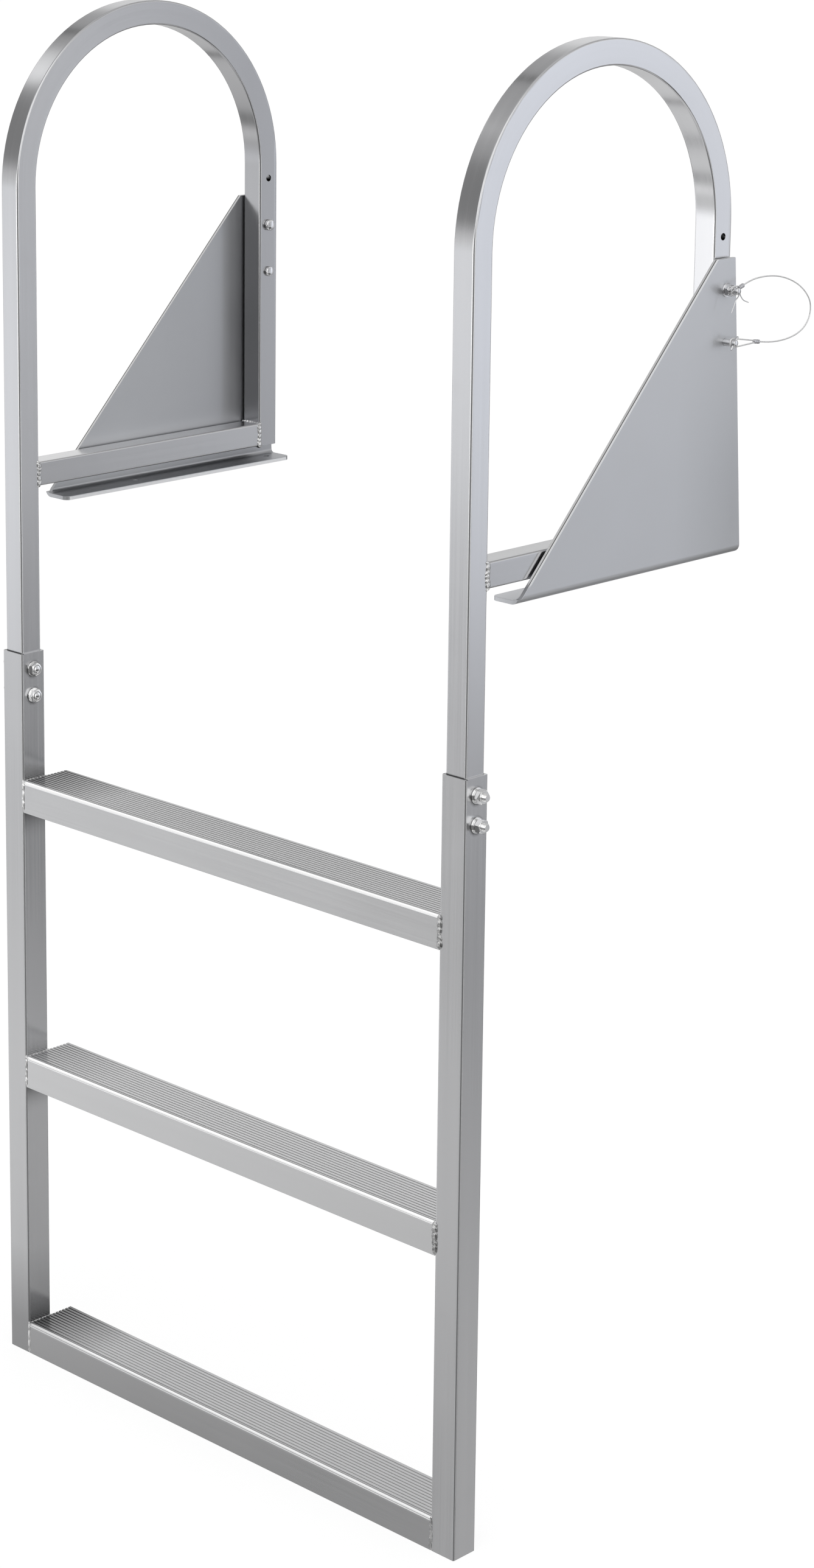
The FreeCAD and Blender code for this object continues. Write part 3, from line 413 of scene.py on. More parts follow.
class Shape:
    """Collects faces of one piece; x is measured outwards on the given side."""

    def __init__(self, side=1):
        self.side, self.v, self.f = side, [], []

    def add(self, verts, faces):
        k = len(self.v)
        self.v += verts
        self.f += [[i + k for i in q] for q in faces]

    def grid(self, rows, closed_rows=False, closed_cols=True):
        """Quads between rows of points, each row as long as the others."""
        n, m = len(rows), len(rows[0])
        verts = [p for row in rows for p in row]
        faces = []
        for i in range(n if closed_rows else n - 1):
            for j in range(m if closed_cols else m - 1):
                a, b = i * m + j, i * m + (j + 1) % m
                c, d = ((i + 1) % n) * m + (j + 1) % m, ((i + 1) % n) * m + j
                faces.append([a, b, c, d])
        self.add(verts, faces)

    def fan(self, ring, centre):
        verts = list(ring) + [centre]
        n = len(ring)
        self.add(verts, [[i, (i + 1) % n, n] for i in range(n)])

    def turned(self, y, z, profile, n=48, closed=False):
        """Turned about a line along x: profile holds (x, radius)."""
        rows = []
        ends = []
        for x, r in profile:
            if r < 1e-6:
                ends.append((len(rows), (x, y, z)))
                continue
            rows.append([(x, y + r * math.cos(2 * math.pi * j / n), z + r * math.sin(2 * math.pi * j / n))
                         for j in range(n)])
        self.grid(rows, closed_rows=closed)
        for k, c in ends:
            self.fan(rows[0] if k == 0 else rows[-1], c)

    def hexagon(self, y, z, x0, x1, flats, bore=None, low=True, high=True, turn=0.0, n=72, hollow=0.25, dome=0.0):
        """A hex head or nut with chamfered ends."""
        rc = flats / 2.0 * 0.965
        angles = [2 * math.pi * j / n for j in range(n)]

        def rh(a):
            q = (a + math.pi / 6) % (math.pi / 3) - math.pi / 6
            return flats / 2.0 / math.cos(q)

        def ring(radius, x):
            return [(x(a) if callable(x) else x,
                     y + (radius(a) if callable(radius) else radius) * math.cos(a + turn),
                     z + (radius(a) if callable(radius) else radius) * math.sin(a + turn)) for a in angles]

        def cut(a):
            return max(0.0, rh(a) - rc) * math.tan(math.radians(32)) + 0.06

        inner = (bore if bore else 0.0)
        rows = []
        if bore:
            rows.append(ring(inner + hollow, x0))
        rows.append(ring(rc, x0))
        rows.append(ring(rh, (lambda a: x0 + cut(a)) if low else x0 + 0.05))
        rows.append(ring(rh, (lambda a: x1 - cut(a)) if high else x1 - 0.05))
        rows.append(ring(rc, x1))
        if bore:
            rows.append(ring(inner + hollow, x1))
            rows.append(ring(inner, x1 - hollow))
            rows.append(ring(inner, x0 + hollow))
            self.grid(rows, closed_rows=True)
        else:
            if dome:
                # slightly crowned end with a shallow ring pressed into it
                crown = []
                for k in range(1, 11):
                    q = 1.0 - k / 11.0
                    dent = 0.18 * math.exp(-((q - 0.62) / 0.10) ** 2)
                    crown.append(ring(rc * q, x0 - dome * (1.0 - q * q) + dent))
                rows = crown[::-1] + rows
                self.grid(rows)
                self.fan(rows[0], (x0 - dome, y, z))
            else:
                self.grid(rows)
                self.fan(rows[0], (x0, y, z))
            self.fan(rows[-1], (x1, y, z))

    def thread(self, y, z, x0, x1, radius, pitch, depth, n=36, tip=0.9):
        """A screwed length with a chamfered tip at x1."""
        steps = max(2, int(round((x1 - x0) / (pitch / 6.0))))
        rows = []
        for i in range(steps + 1):
            x = x0 + (x1 - x0) * i / steps
            row = []
            for j in range(n):
                a = 2 * math.pi * j / n
                ph = (x / pitch - j / n) % 1.0
                r = radius - depth * (1.0 - abs(2.0 * ph - 1.0)) ** 0.85
                r = min(r, radius - max(0.0, tip - (x1 - x)))
                row.append((x, y + r * math.cos(a), z + r * math.sin(a)))
            rows.append(row)
        self.grid(rows)
        self.fan(rows[-1], (x1, y, z))
        self.fan(rows[0], (x0, y, z))

    def rod(self, pts, radius, n=12, caps=True, closed=False):
        """A round bar along points; radius is a number or one per point."""
        pts = [Vector(p) for p in pts]
        m = len(pts)
        rad = radius if hasattr(radius, "__len__") else [radius] * m
        if closed:
            tang = [(pts[(i + 1) % m] - pts[i - 1]).normalized() for i in range(m)]
        else:
            tang = [(pts[min(i + 1, m - 1)] - pts[max(i - 1, 0)]).normalized() for i in range(m)]
        ref = tang[0].orthogonal().normalized()
        rows = []
        for i in range(m):
            ref = (ref - tang[i] * ref.dot(tang[i])).normalized()
            other = tang[i].cross(ref)
            rows.append([tuple(pts[i] + (ref * math.cos(2 * math.pi * j / n) + other * math.sin(2 * math.pi * j / n)) * rad[i])
                         for j in range(n)])
        self.grid(rows, closed_rows=closed)
        if caps and not closed:
            self.fan(rows[0], tuple(pts[0]))
            self.fan(rows[-1], tuple(pts[-1]))

    def make(self, name, material, body, slot, nodes=(), angle=34.0):
        me = bpy.data.meshes.new(name)
        verts = [tuple(point(self.side, *p)) for p in self.v]
        me.from_pydata(verts, [], self.f)
        bm = bmesh.new()
        bm.from_mesh(me)
        bmesh.ops.remove_doubles(bm, verts=bm.verts, dist=2e-6)
        bmesh.ops.dissolve_degenerate(bm, edges=bm.edges, dist=1e-6)
        bmesh.ops.recalc_face_normals(bm, faces=bm.faces)
        bm.to_mesh(me)
        bm.free()
        me.shade_smooth()
        me.set_sharp_from_angle(angle=math.radians(angle))
        me.materials.append(material)
        o = link(bpy.data.objects.new(name, me))
        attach(o, body)
        if nodes:
            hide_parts(*nodes)
        return o


SIDES = (("left", -1), ("right", 1))
LEG = 350.0       # y of the rear leg's axis
PIVOT, LOCK = 1180.0, 1130.0
RAIL_IN, RAIL_OUT = 295.0, 325.0
TUBE_IN, TUBE_OUT = 297.5, 322.5
PLATE_IN, PLATE_OUT = 324.5, 328.5

# ------------------------------------------------------- tubes, treads, plates
FINISH = {
    "left_rail": "rail", "right_rail": "rail",
    "left_handrail": "handrail", "right_handrail": "handrail_right",
    "left_cross_tube": "cross", "right_cross_tube": "cross",
    "bottom_tread": "tread", "middle_tread": "tread", "top_tread": "tread",
    "left_bracket": "sheet", "right_bracket": "sheet",
}
for name, key in FINISH.items():
    o = frame["nodes"][name]
    o.material_slots[0].material = MAT[key]
    weld = o.modifiers.new("weld", "WELD")
    weld.merge_threshold = 0.00001
    flat = o.modifiers.new("flat", "DECIMATE")
    flat.decimate_type = "DISSOLVE"
    flat.angle_limit = math.radians(0.6)
    bevel = o.modifiers.new("edges", "BEVEL")
    bevel.width = 0.0008 if key == "sheet" else 0.00035
    bevel.segments = 3 if key == "sheet" else 2
    bevel.limit_method = "ANGLE"
    bevel.angle_limit = math.radians(50)
    bevel.face_strength_mode = "FSTR_NEW"
    normals = o.modifiers.new("normals", "WEIGHTED_NORMAL")
    normals.keep_sharp = False
    normals.use_face_influence = True

# ----------------------------------------------------------------- hardware
for name, side in SIDES:
    for level, z in (("upper", 751.0), ("lower", 723.0)):
        y = 15.0
        turn = math.radians(2 if level == "upper" else 38) + side * 0.1
        s = Shape(side)
        s.hexagon(y, z, RAIL_IN - 6.2, RAIL_IN - 1.4, 12.4, low=True, high=False, turn=turn, dome=0.5)
        s.turned(y, z, [(RAIL_IN - 1.4, 3.0), (RAIL_IN - 1.4, 7.4), (RAIL_IN - 1.1, 7.7), (RAIL_IN - 0.25, 7.7),
                        (RAIL_IN, 7.45), (RAIL_IN, 3.0)], closed=True)
        s.turned(y, z, [(RAIL_IN, 0.0), (RAIL_IN, 3.95), (RAIL_OUT + 4.0, 3.95), (RAIL_OUT + 4.0, 0.0)], n=32)
        s.thread(y, z, RAIL_OUT + 3.0, RAIL_OUT + 13.5, 3.95, 1.25, 0.66)
        s.make("%s_%s_sleeve_bolt" % (name, level), MAT["bolt"], "ladder", "bolt_steel", ["%s_%s_bolt" % (name, level)])

        s = Shape(side)
        s.turned(y, z, [(RAIL_OUT + 0.02, 4.2), (RAIL_OUT + 0.02, 7.5), (RAIL_OUT + 0.3, 7.7), (RAIL_OUT + 1.1, 7.7),
                        (RAIL_OUT + 1.38, 7.45), (RAIL_OUT + 1.38, 4.2)], closed=True)
        # split spring washer
        rows = []
        gap = math.radians(9)
        for i in range(49):
            a = turn + gap + (2 * math.pi - 2 * gap) * i / 48
            lift = 0.22 * (i / 48 - 0.5)
            sec = [(RAIL_OUT + 1.55 + lift, 4.3), (RAIL_OUT + 1.5 + lift, 6.4), (RAIL_OUT + 1.65 + lift, 6.6),
                   (RAIL_OUT + 2.85 + lift, 6.6), (RAIL_OUT + 3.0 + lift, 6.4), (RAIL_OUT + 3.0 + lift, 4.3)]
            rows.append([(px, y + pr * math.cos(a), z + pr * math.sin(a)) for px, pr in sec])
        s.grid(rows)
        k = len(s.v)
        s.f.append([k - 6 * 49 + i for i in range(6)])
        s.f.append([k - 6 + i for i in range(6)])
        s.make("%s_%s_sleeve_washers" % (name, level), MAT["bolt"], "ladder", "bolt_steel", ["%s_%s_washer" % (name, level)])

        s = Shape(side)
        s.hexagon(y, z, RAIL_OUT + 3.2, RAIL_OUT + 9.4, 12.4, bore=3.6, turn=turn + 0.5)
        s.make("%s_%s_sleeve_nut" % (name, level), MAT["bolt"], "ladder", "bolt_steel", ["%s_%s_nut" % (name, level)])

    # pivot bolt
    y = LEG
    s = Shape(side)
    x0 = TUBE_IN - 4.3
    s.turned(y, PIVOT, [(x0, 0.0), (x0, 4.4), (x0 + 0.25, 5.2), (x0 + 0.9, 5.8), (x0 + 1.6, 6.0), (x0 + 3.7, 6.0),
                        (x0 + 4.0, 5.7), (x0 + 4.0, 3.45), (PLATE_OUT + 6.0, 3.45), (PLATE_OUT + 6.5, 3.2),
                        (PLATE_OUT + 7.0, 3.2), (PLATE_OUT + 7.4, 3.45), (PLATE_OUT + 14.6, 3.45), (PLATE_OUT + 15.3, 2.9),
                        (PLATE_OUT + 15.5, 2.4), (PLATE_OUT + 15.5, 0.0)], n=56)
    s.make(name + "_pivot_pin", MAT["pin"], "brackets", "pin_steel", [name + "_pivot_bolt"])
    s = Shape(side)
    s.turned(y, PIVOT, [(PLATE_OUT + 0.02, 3.6), (PLATE_OUT + 0.02, 6.4), (PLATE_OUT + 0.3, 6.6), (PLATE_OUT + 1.1, 6.6),
                        (PLATE_OUT + 1.38, 6.35), (PLATE_OUT + 1.38, 3.6)], closed=True)
    s.make(name + "_pivot_flat_washer", MAT["pin"], "brackets", "pin_steel", [name + "_pivot_washer"])
    s = Shape(side)
    s.hexagon(y, PIVOT, PLATE_OUT + 1.4, PLATE_OUT + 6.0, 10.5, bore=3.5, turn=0.2)
    s.make(name + "_pivot_hex_nut", MAT["pin"], "brackets", "pin_steel", [name + "_pivot_nut"])

    # locking pin: head length on the ladder, plain end in the bracket
    s = Shape(side)
    x0 = TUBE_IN - 3.3
    s.turned(y, LOCK, [(x0, 0.0), (x0, 4.0), (x0 + 0.2, 4.7), (x0 + 0.8, 5.15), (x0 + 1.4, 5.3), (x0 + 2.7, 5.3),
                       (x0 + 3.0, 5.0), (x0 + 3.0, 3.45), (TUBE_OUT + 0.9, 3.45), (TUBE_OUT + 0.9, 0.0)], n=56)
    s.make(name + "_lock_pin_inner", MAT["pin"], "ladder", "pin_steel", [name + "_lock_pin_head"])
    s = Shape(side)
    s.turned(y, LOCK, [(PLATE_IN - 0.9, 0.0), (PLATE_IN - 0.9, 3.45), (PLATE_OUT + 13.2, 3.45), (PLATE_OUT + 13.75, 2.9),
                       (PLATE_OUT + 13.9, 2.4), (PLATE_OUT + 13.9, 0.0)], n=48)
    # a small cross pin keeps the wire on the locking pin
    lean = math.radians(41)
    lengths = [-8.0, -7.9, -7.6, -7.2, -3.0, 3.0, 7.2, 7.6, 7.9, 8.0]
    sizes = [0.5, 0.8, 1.0, 1.1, 1.1, 1.1, 1.1, 1.0, 0.8, 0.5]
    s.rod([(340.0, y + math.sin(lean) * q, LOCK + math.cos(lean) * q) for q in lengths], sizes, n=18)
    s.make(name + "_lock_pin_outer", MAT["pin"], "brackets", "pin_steel", [name + "_lock_pin_end"])

# ---------------------------------------------------------------- wire pieces
# The right lanyard's route: (y, z) on its own plane.
LOOPS = {
    1: [(363.3, 1184.3), (374.5, 1187.9), (389.0, 1189.5), (404.5, 1189.3), (420.0, 1187.3),
        (435.0, 1183.0), (449.0, 1176.8), (461.0, 1168.2), (469.5, 1157.5), (469.8, 1145.0),
        (462.5, 1134.5), (450.5, 1128.3), (436.0, 1125.2), (420.0, 1124.2), (404.5, 1124.9), (390.0, 1127.0)],
}
WIRE_PLANE = 338.0


def route_line(side):
    """Points of the smooth line through the lanyard's route."""
    cu = bpy.data.curves.new("route", "CURVE")
    cu.dimensions = "3D"
    sp = cu.splines.new("NURBS")
    sp.points.add(len(LOOPS[side]) - 1)
    for p, (y, z) in zip(sp.points, LOOPS[side]):
        p.co = (*point(side, WIRE_PLANE, y, z), 1.0)
    sp.order_u = 3
    sp.use_endpoint_u = True
    sp.resolution_u = 24
    o = link(bpy.data.objects.new("route", cu))
    dg = bpy.context.evaluated_depsgraph_get()
    me = bpy.data.meshes.new_from_object(o.evaluated_get(dg))
    pts = [v.co.copy() for v in me.vertices]
    bpy.data.meshes.remove(me)
    bpy.data.objects.remove(o)
    bpy.data.curves.remove(cu)
    return pts


def even(pts, step):
    """The same line, in equal steps."""
    total = sum((b - a).length for a, b in zip(pts, pts[1:]))
    n = max(2, int(round(total / step)))
    out, want, run, i = [pts[0].copy()], total / n, 0.0, 0
    k = 1
    while k < n:
        target = k * want
        while run + (pts[i + 1] - pts[i]).length < target:
            run += (pts[i + 1] - pts[i]).length
            i += 1
        a, b = pts[i], pts[i + 1]
        out.append(a.lerp(b, (target - run) / (b - a).length))
        k += 1
    out.append(pts[-1].copy())
    return out


def stranded(name, pts, diameter, lay, body, material, nodes=()):
    """A wire of six strands laid round a core along points in metres."""
    m = len(pts)
    r = diameter / 6.0
    tang = [(pts[min(i + 1, m - 1)] - pts[max(i - 1, 0)]).normalized() for i in range(m)]
    ref = tang[0].orthogonal().normalized()
    verts, faces = [], []
    frames = []
    run = 0.0
    for i in range(m):
        ref = (ref - tang[i] * ref.dot(tang[i])).normalized()
        frames.append((ref.copy(), tang[i].cross(ref), run))
        if i + 1 < m:
            run += (pts[i + 1] - pts[i]).length
    for k in range(6):
        centres = []
        for i in range(m):
            a, b, d = frames[i]
            t = 2 * math.pi * (k / 6.0 + d / lay)
            centres.append(pts[i] + (a * math.cos(t) + b * math.sin(t)) * (2 * r))
        base = len(verts)
        n = 7
        for i in range(m):
            a, b, d = frames[i]
            t = 2 * math.pi * (k / 6.0 + d / lay)
            out = a * math.cos(t) + b * math.sin(t)
            s = (centres[min(i + 1, m - 1)] - centres[max(i - 1, 0)]).normalized()
            out = (out - s * out.dot(s)).normalized()
            other = s.cross(out)
            for j in range(n):
                q = 2 * math.pi * j / n
                verts.append(centres[i] + (out * math.cos(q) + other * math.sin(q)) * r)
        for i in range(m - 1):
            for j in range(n):
                faces.append([base + i * n + j, base + i * n + (j + 1) % n,
                              base + (i + 1) * n + (j + 1) % n, base + (i + 1) * n + j])
        faces.append([base + j for j in range(n)][::-1])
        faces.append([base + (m - 1) * n + j for j in range(n)])
    me = bpy.data.meshes.new(name)
    me.from_pydata([tuple(v) for v in verts], [], faces)
    bm = bmesh.new()
    bm.from_mesh(me)
    bmesh.ops.recalc_face_normals(bm, faces=bm.faces)
    bm.to_mesh(me)
    bm.free()
    me.shade_smooth()
    me.materials.append(material)
    o = link(bpy.data.objects.new(name, me))
    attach(o, body)
    if nodes:
        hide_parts(*nodes)
    return o


def eye_line(pin_y, pin_z, start, d):
    """Wire from inside its ferrule round a pin and back, as (y, z) points."""
    r, half = 4.4, 0.8
    ends, tangents = [], []
    for sgn in (1, -1):
        e = (start[0] + d[0] * 3.0 - sgn * d[1] * half, start[1] + d[1] * 3.0 + sgn * d[0] * half)
        away = math.atan2(e[1] - pin_z, e[0] - pin_y)
        off = math.acos(r / math.hypot(e[0] - pin_y, e[1] - pin_z))
        ends.append(e)
        tangents.append(away + sgn * off)
    a0, a1 = tangents
    while a1 < a0:
        a1 += 2 * math.pi
    p0 = (pin_y + r * math.cos(a0), pin_z + r * math.sin(a0))
    p1 = (pin_y + r * math.cos(a1), pin_z + r * math.sin(a1))
    line_pts = [(ends[0][0] + (p0[0] - ends[0][0]) * i / 40.0, ends[0][1] + (p0[1] - ends[0][1]) * i / 40.0) for i in range(40)]
    line_pts += [(pin_y + r * math.cos(a0 + (a1 - a0) * i / 60.0), pin_z + r * math.sin(a0 + (a1 - a0) * i / 60.0)) for i in range(60)]
    line_pts += [(p1[0] + (ends[1][0] - p1[0]) * i / 40.0, p1[1] + (ends[1][1] - p1[1]) * i / 40.0) for i in range(41)]
    return line_pts


def ferrule(s, start, d, length):
    """Oval sleeve pressed on the wires, with two crimped bands."""
    rows = []
    steps = 44
    for i in range(steps + 1):
        t = length * i / steps
        near = min(t, length - t)
        body = 1.0 if near > 0.45 else 0.80 + 0.20 * math.sqrt(max(0.0, 1 - (1 - near / 0.45) ** 2))
        dent = 0.0
        for at in (0.30, 0.70):
            q = abs(t - at * length) / (0.13 * length)
            if q < 1.0:
                dent = max(dent, 0.5 + 0.5 * math.cos(math.pi * q ** 1.5))
        wide = 2.05 * body * (1.0 + 0.05 * dent)
        deep = 1.75 * body * (1.0 - 0.20 * dent)
        row = []
        for j in range(28):
            a = 2 * math.pi * j / 28
            c, si = math.cos(a), math.sin(a)
            k = (abs(c) ** 2.6 + abs(si) ** 2.6) ** (-1 / 2.6)
            u, w = wide * k * c, deep * k * si
            row.append((WIRE_PLANE + w, start[0] + d[0] * t - d[1] * u, start[1] + d[1] * t + d[0] * u))
        rows.append(row)
    s.grid(rows)
    s.fan(rows[0], (WIRE_PLANE, start[0], start[1]))
    s.fan(rows[-1], (WIRE_PLANE, start[0] + d[0] * length, start[1] + d[1] * length))


def towards(a, b):
    q = math.hypot(b[0] - a[0], b[1] - a[1])
    return ((b[0] - a[0]) / q, (b[1] - a[1]) / q)


def flowing(pts, n=8):
    """A smooth line through points (Catmull-Rom)."""
    pts = [Vector(p) for p in pts]
    full = [pts[0] * 2 - pts[1]] + pts + [pts[-1] * 2 - pts[-2]]
    out = []
    for i in range(1, len(full) - 2):
        p0, p1, p2, p3 = full[i - 1:i + 3]
        for k in range(n):
            t = k / n
            out.append(((p1 * 2) + (p2 - p0) * t + (p0 * 2 - p1 * 5 + p2 * 4 - p3) * t ** 2
                        + (p1 * 3 - p0 - p2 * 3 + p3) * t ** 3) * 0.5)
    out.append(pts[-1])
    return out


for name, side in SIDES:
    held = []
    if side in LOOPS:
        ends = LOOPS[side]
        for piece, pin_z, first, second, length in (("upper", PIVOT, ends[0], ends[1], 7.4), ("lower", LOCK, ends[-1], ends[-2], 8.0)):
            d = towards(first, second)
            start = (first[0] - d[0] * length, first[1] - d[1] * length)
            pts = even([point(side, WIRE_PLANE, y, z) for y, z in eye_line(LEG, pin_z, start, d)], 0.0004)
            turn = stranded("%s_%s_wire_eye" % (name, piece), pts, 0.0015, 0.0095, "brackets", MAT["wire"],
                            ["%s_%s_eye" % (name, piece)])
            s = Shape(side)
            ferrule(s, start, d, length)
            held += [turn, s.make("%s_%s_ferrule" % (name, piece), MAT["ferrule"], "brackets", "wire_steel")]

    # split pin: one wire doubled over, its eye in front of the pivot pin and
    # its legs bent down behind
    ux, uz = -math.cos(math.radians(22)), math.sin(math.radians(22))
    q = lambda k, off, x=0.0: (340.5 + x, LEG + ux * k + uz * off, PIVOT + uz * k - ux * off)
    leg_a = [(-0.6, -6.1, -20.6), (-0.4, -2.2, -13.0), (-0.2, -0.3, -8.7), (0.0, 2.9, -5.7), (0.0, 4.35, -3.5)]
    leg_b = [(0.1, 5.1, -2.9), (0.25, 7.2, -6.3), (0.4, 10.8, -9.7), (0.6, 18.5, -12.6)]
    route = [(340.5 + dx, LEG + dy, PIVOT + dz) for dx, dy, dz in leg_a] + [q(-3.9, -0.5), q(0.0, -0.5), q(4.3, -0.55)]
    for i in range(1, 16):
        a = math.radians(-20 - 320 * i / 16)
        route.append(q(7.0 - 2.35 * math.cos(a), 2.35 * math.sin(a)))
    route += [q(4.3, 0.55), q(0.0, 0.5), q(-3.9, 0.5)] + [(340.5 + dx, LEG + dy, PIVOT + dz) for dx, dy, dz in leg_b]
    line_pts = flowing(route, 6)
    s = Shape(side)
    sizes = [0.55] * len(line_pts)
    for k, f in enumerate((0.45, 0.85)):
        sizes[k] = sizes[-1 - k] = 0.55 * f
    s.rod(line_pts, sizes, n=14)
    s.make(name + "_split_wire_pin", MAT["pin"], "brackets", "pin_steel", [name + "_split_pin"])

    if side not in LOOPS:
        continue
    pts = even(route_line(side), 0.0007)
    wire = stranded(name + "_lanyard_wire", pts, 0.0015, 0.0095, "brackets", MAT["wire"], [name + "_lanyard"])


# ----------------------------------------------------------------- weld beads
def bead(name, path, width, height, pitch, body, side, seed, sink=0.5, closed=False):
    """A weld bead: path holds (place, across, up) every fraction of a mm."""
    rng = random.Random(seed)
    m = len(path)
    run = [0.0]
    for i in range(1, m):
        run.append(run[-1] + (Vector(path[i][0]) - Vector(path[i - 1][0])).length)
    total = run[-1]
    marks, t = [0.0], 0.0
    while t < total:
        t += pitch * rng.uniform(0.75, 1.28)
        marks.append(t)
    size = [rng.uniform(0.8, 1.18) for _ in marks]
    sway = [rng.uniform(-0.1, 0.1) * width for _ in marks]
    n = 11
    rows = []
    for i in range(m):
        place, across, up = (Vector(q) for q in path[i])
        t = run[i]
        k = max(j for j in range(len(marks)) if marks[j] <= t + 1e-9)
        k2 = min(k + 1, len(marks) - 1)
        span = max(1e-6, marks[k2] - marks[k]) if k2 > k else pitch
        f = min(1.0, (t - marks[k]) / span)
        ripple = (4 * f * (1 - f)) ** 0.55
        w = width * (0.80 + 0.20 * ripple) * (size[k] * (1 - f) + size[k2] * f)
        h = height * (0.42 + 0.58 * ripple) * (size[k] * (1 - f) + size[k2] * f)
        shift = sway[k] * (1 - f) + sway[k2] * f
        if not closed:
            fade = min(1.0, t / (pitch * 0.45), (total - t) / (pitch * 0.45))
            fade = math.sqrt(max(0.02, fade * (2 - fade)))
            w, h = w * (0.35 + 0.65 * fade), h * fade
        along = (Vector(path[min(i + 1, m - 1)][0]) - Vector(path[max(i - 1, 0)][0])).normalized()
        row = []
        for j in range(n):
            u = -1 + 2 * j / (n - 1)
            dome = math.sqrt(max(0.0, 1 - u * u)) ** 0.9
            crescent = pitch * 0.32 * (1 - u * u)
            p = place + across * (u * w / 2 + shift) + up * (h * dome - (sink if abs(u) > 0.999 else 0.0)) + along * crescent
            row.append(tuple(p))
        row.append(tuple(place + across * shift - up * (sink + 0.3)))
        rows.append(row)
    s = Shape(side)
    s.grid(rows, closed_rows=closed)
    if not closed:
        s.fan(rows[0], path[0][0])
        s.fan(rows[-1], path[-1][0])
    return s


def line(a, b, across, up, step=0.35):
    a, b = Vector(a), Vector(b)
    n = max(2, int(round((b - a).length / step)))
    return [(a.lerp(b, i / n), across, up) for i in range(n + 1)]


R2 = math.sqrt(0.5)
for name, side in SIDES:
    # treads to rails: front seam, back seam on the rail's rear corner, underside
    for number, tread in enumerate(("bottom", "middle", "top")):
        z0 = 300.0 * number
        shapes = []
        wide, high = (4.6, 0.35) if not number else ((6.2, 2.0) if side > 0 else (4.6, 0.9))
        shapes.append(bead("f", line((295.0, 0.0, z0 + 0.6), (295.0, 0.0, z0 + 32.6), (1, 0, 0), (0, -1, 0)),
                           wide, high, 7.0 if side > 0 else 9.0, "ladder", side, 11 * number + 3 + side))
        shapes.append(bead("t", line((295.1, 2.0, z0 + 33.6), (295.1, 30.0, z0 + 33.6), (R2, 0, R2), (-R2, 0, R2)),
                           2.6, 0.7, 3.6, "ladder", side, 71 * number + 9 + side))
        shapes.append(bead("b", line((294.9, 30.2, z0 + 2.0), (294.9, 30.2, z0 + 33.5), (-R2, R2, 0), (R2 * 0.3, 0.954, 0)),
                           3.8, 1.2, 4.2, "ladder", side, 31 * number + 5 + side))
        if number:
            shapes.append(bead("u", line((294.8, 2.0, z0 - 0.1), (294.8, 29.0, z0 - 0.1), (-R2, 0, R2), (-R2, 0, -R2)),
                               4.4, 1.3, 4.4, "ladder", side, 53 * number + 7 + side))
        s = Shape(side)
        for q in shapes:
            s.add(q.v, q.f)
        # the right-hand welds take the darker copy, painted shade for their shaded flank
        s.make("%s_%s_tread_weld" % (name, tread), MAT["weld_painted_shade" if side > 0 else "weld"], "ladder", "tread", angle=60)
    # cross tube to legs, all the way round
    for end, y, into in (("front", 27.5, 1.0), ("rear", 337.5, -1.0)):
        zc, h = 952.5, 12.5
        path = []
        corners = [(h, -h), (h, h), (-h, h), (-h, -h)]
        ups = [(1, 0, 0), (0, into * 0.8, 1), (-1, 0, 0), (0, into * 0.8, -1)]
        for k in range(4):
            (xa, za), (xb, zb) = corners[k], corners[(k + 1) % 4]
            u0, u1, u2 = Vector(ups[k - 1]).normalized(), Vector(ups[k]).normalized(), Vector(ups[(k + 1) % 4]).normalized()
            steps = 60
            for i in range(steps):
                f = i / steps
                if f < 0.1:
                    up_v = u0.lerp(u1, 0.5 + 5 * f).normalized()
                elif f > 0.9:
                    up_v = u1.lerp(u2, 5 * (f - 0.9)).normalized()
                else:
                    up_v = u1
                px, pz = xa + (xb - xa) * f, za + (zb - za) * f
                pull = 0.0
                if f < 0.08:
                    pull = (0.08 - f) / 0.08
                if f > 0.92:
                    pull = (f - 0.92) / 0.08
                px *= 1 - 0.035 * pull
                pz *= 1 - 0.035 * pull
                across = Vector((0, 1, 0)) - up_v * up_v.y
                path.append(((310.0 + px, y, zc + pz), tuple(across.normalized()), tuple(up_v)))
        s = bead("c", path, 6.0, 1.35, 4.6, "ladder", side, 97 + side + int(into), closed=True)
        s.make("%s_cross_tube_%s_weld" % (name, end), MAT["weld"], "ladder", "handrail_tube", angle=60)

# ------------------------------------------------------------ floor and light
me = bpy.data.meshes.new("floor")
me.from_pydata([(-40, -40, 0), (40, -40, 0), (40, 40, 0), (-40, 40, 0)], [], [[0, 1, 2, 3]])
floor = link(bpy.data.objects.new("floor", me))
floor.location = (0.312, 0, FOOT / 1000.0 - 0.0004)
floor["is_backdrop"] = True
floor.visible_glossy = False
m = bpy.data.materials.new("floor")
m.use_nodes = True
g = Graph(m.node_tree)
m.node_tree.nodes.clear()
out = g.add("ShaderNodeOutputMaterial")
dif = g.add("ShaderNodeBsdfDiffuse")
dif.inputs["Color"].default_value = grey(0.25)
emi = g.add("ShaderNodeEmission")
emi.inputs["Color"].default_value = grey(1.0)
emi.inputs["Strength"].default_value = 0.85
addn = g.add("ShaderNodeAddShader")
g.join(dif.outputs[0], addn.inputs[0])
g.join(emi.outputs[0], addn.inputs[1])
g.join(addn.outputs[0], out.inputs[0])
me.materials.append(m)

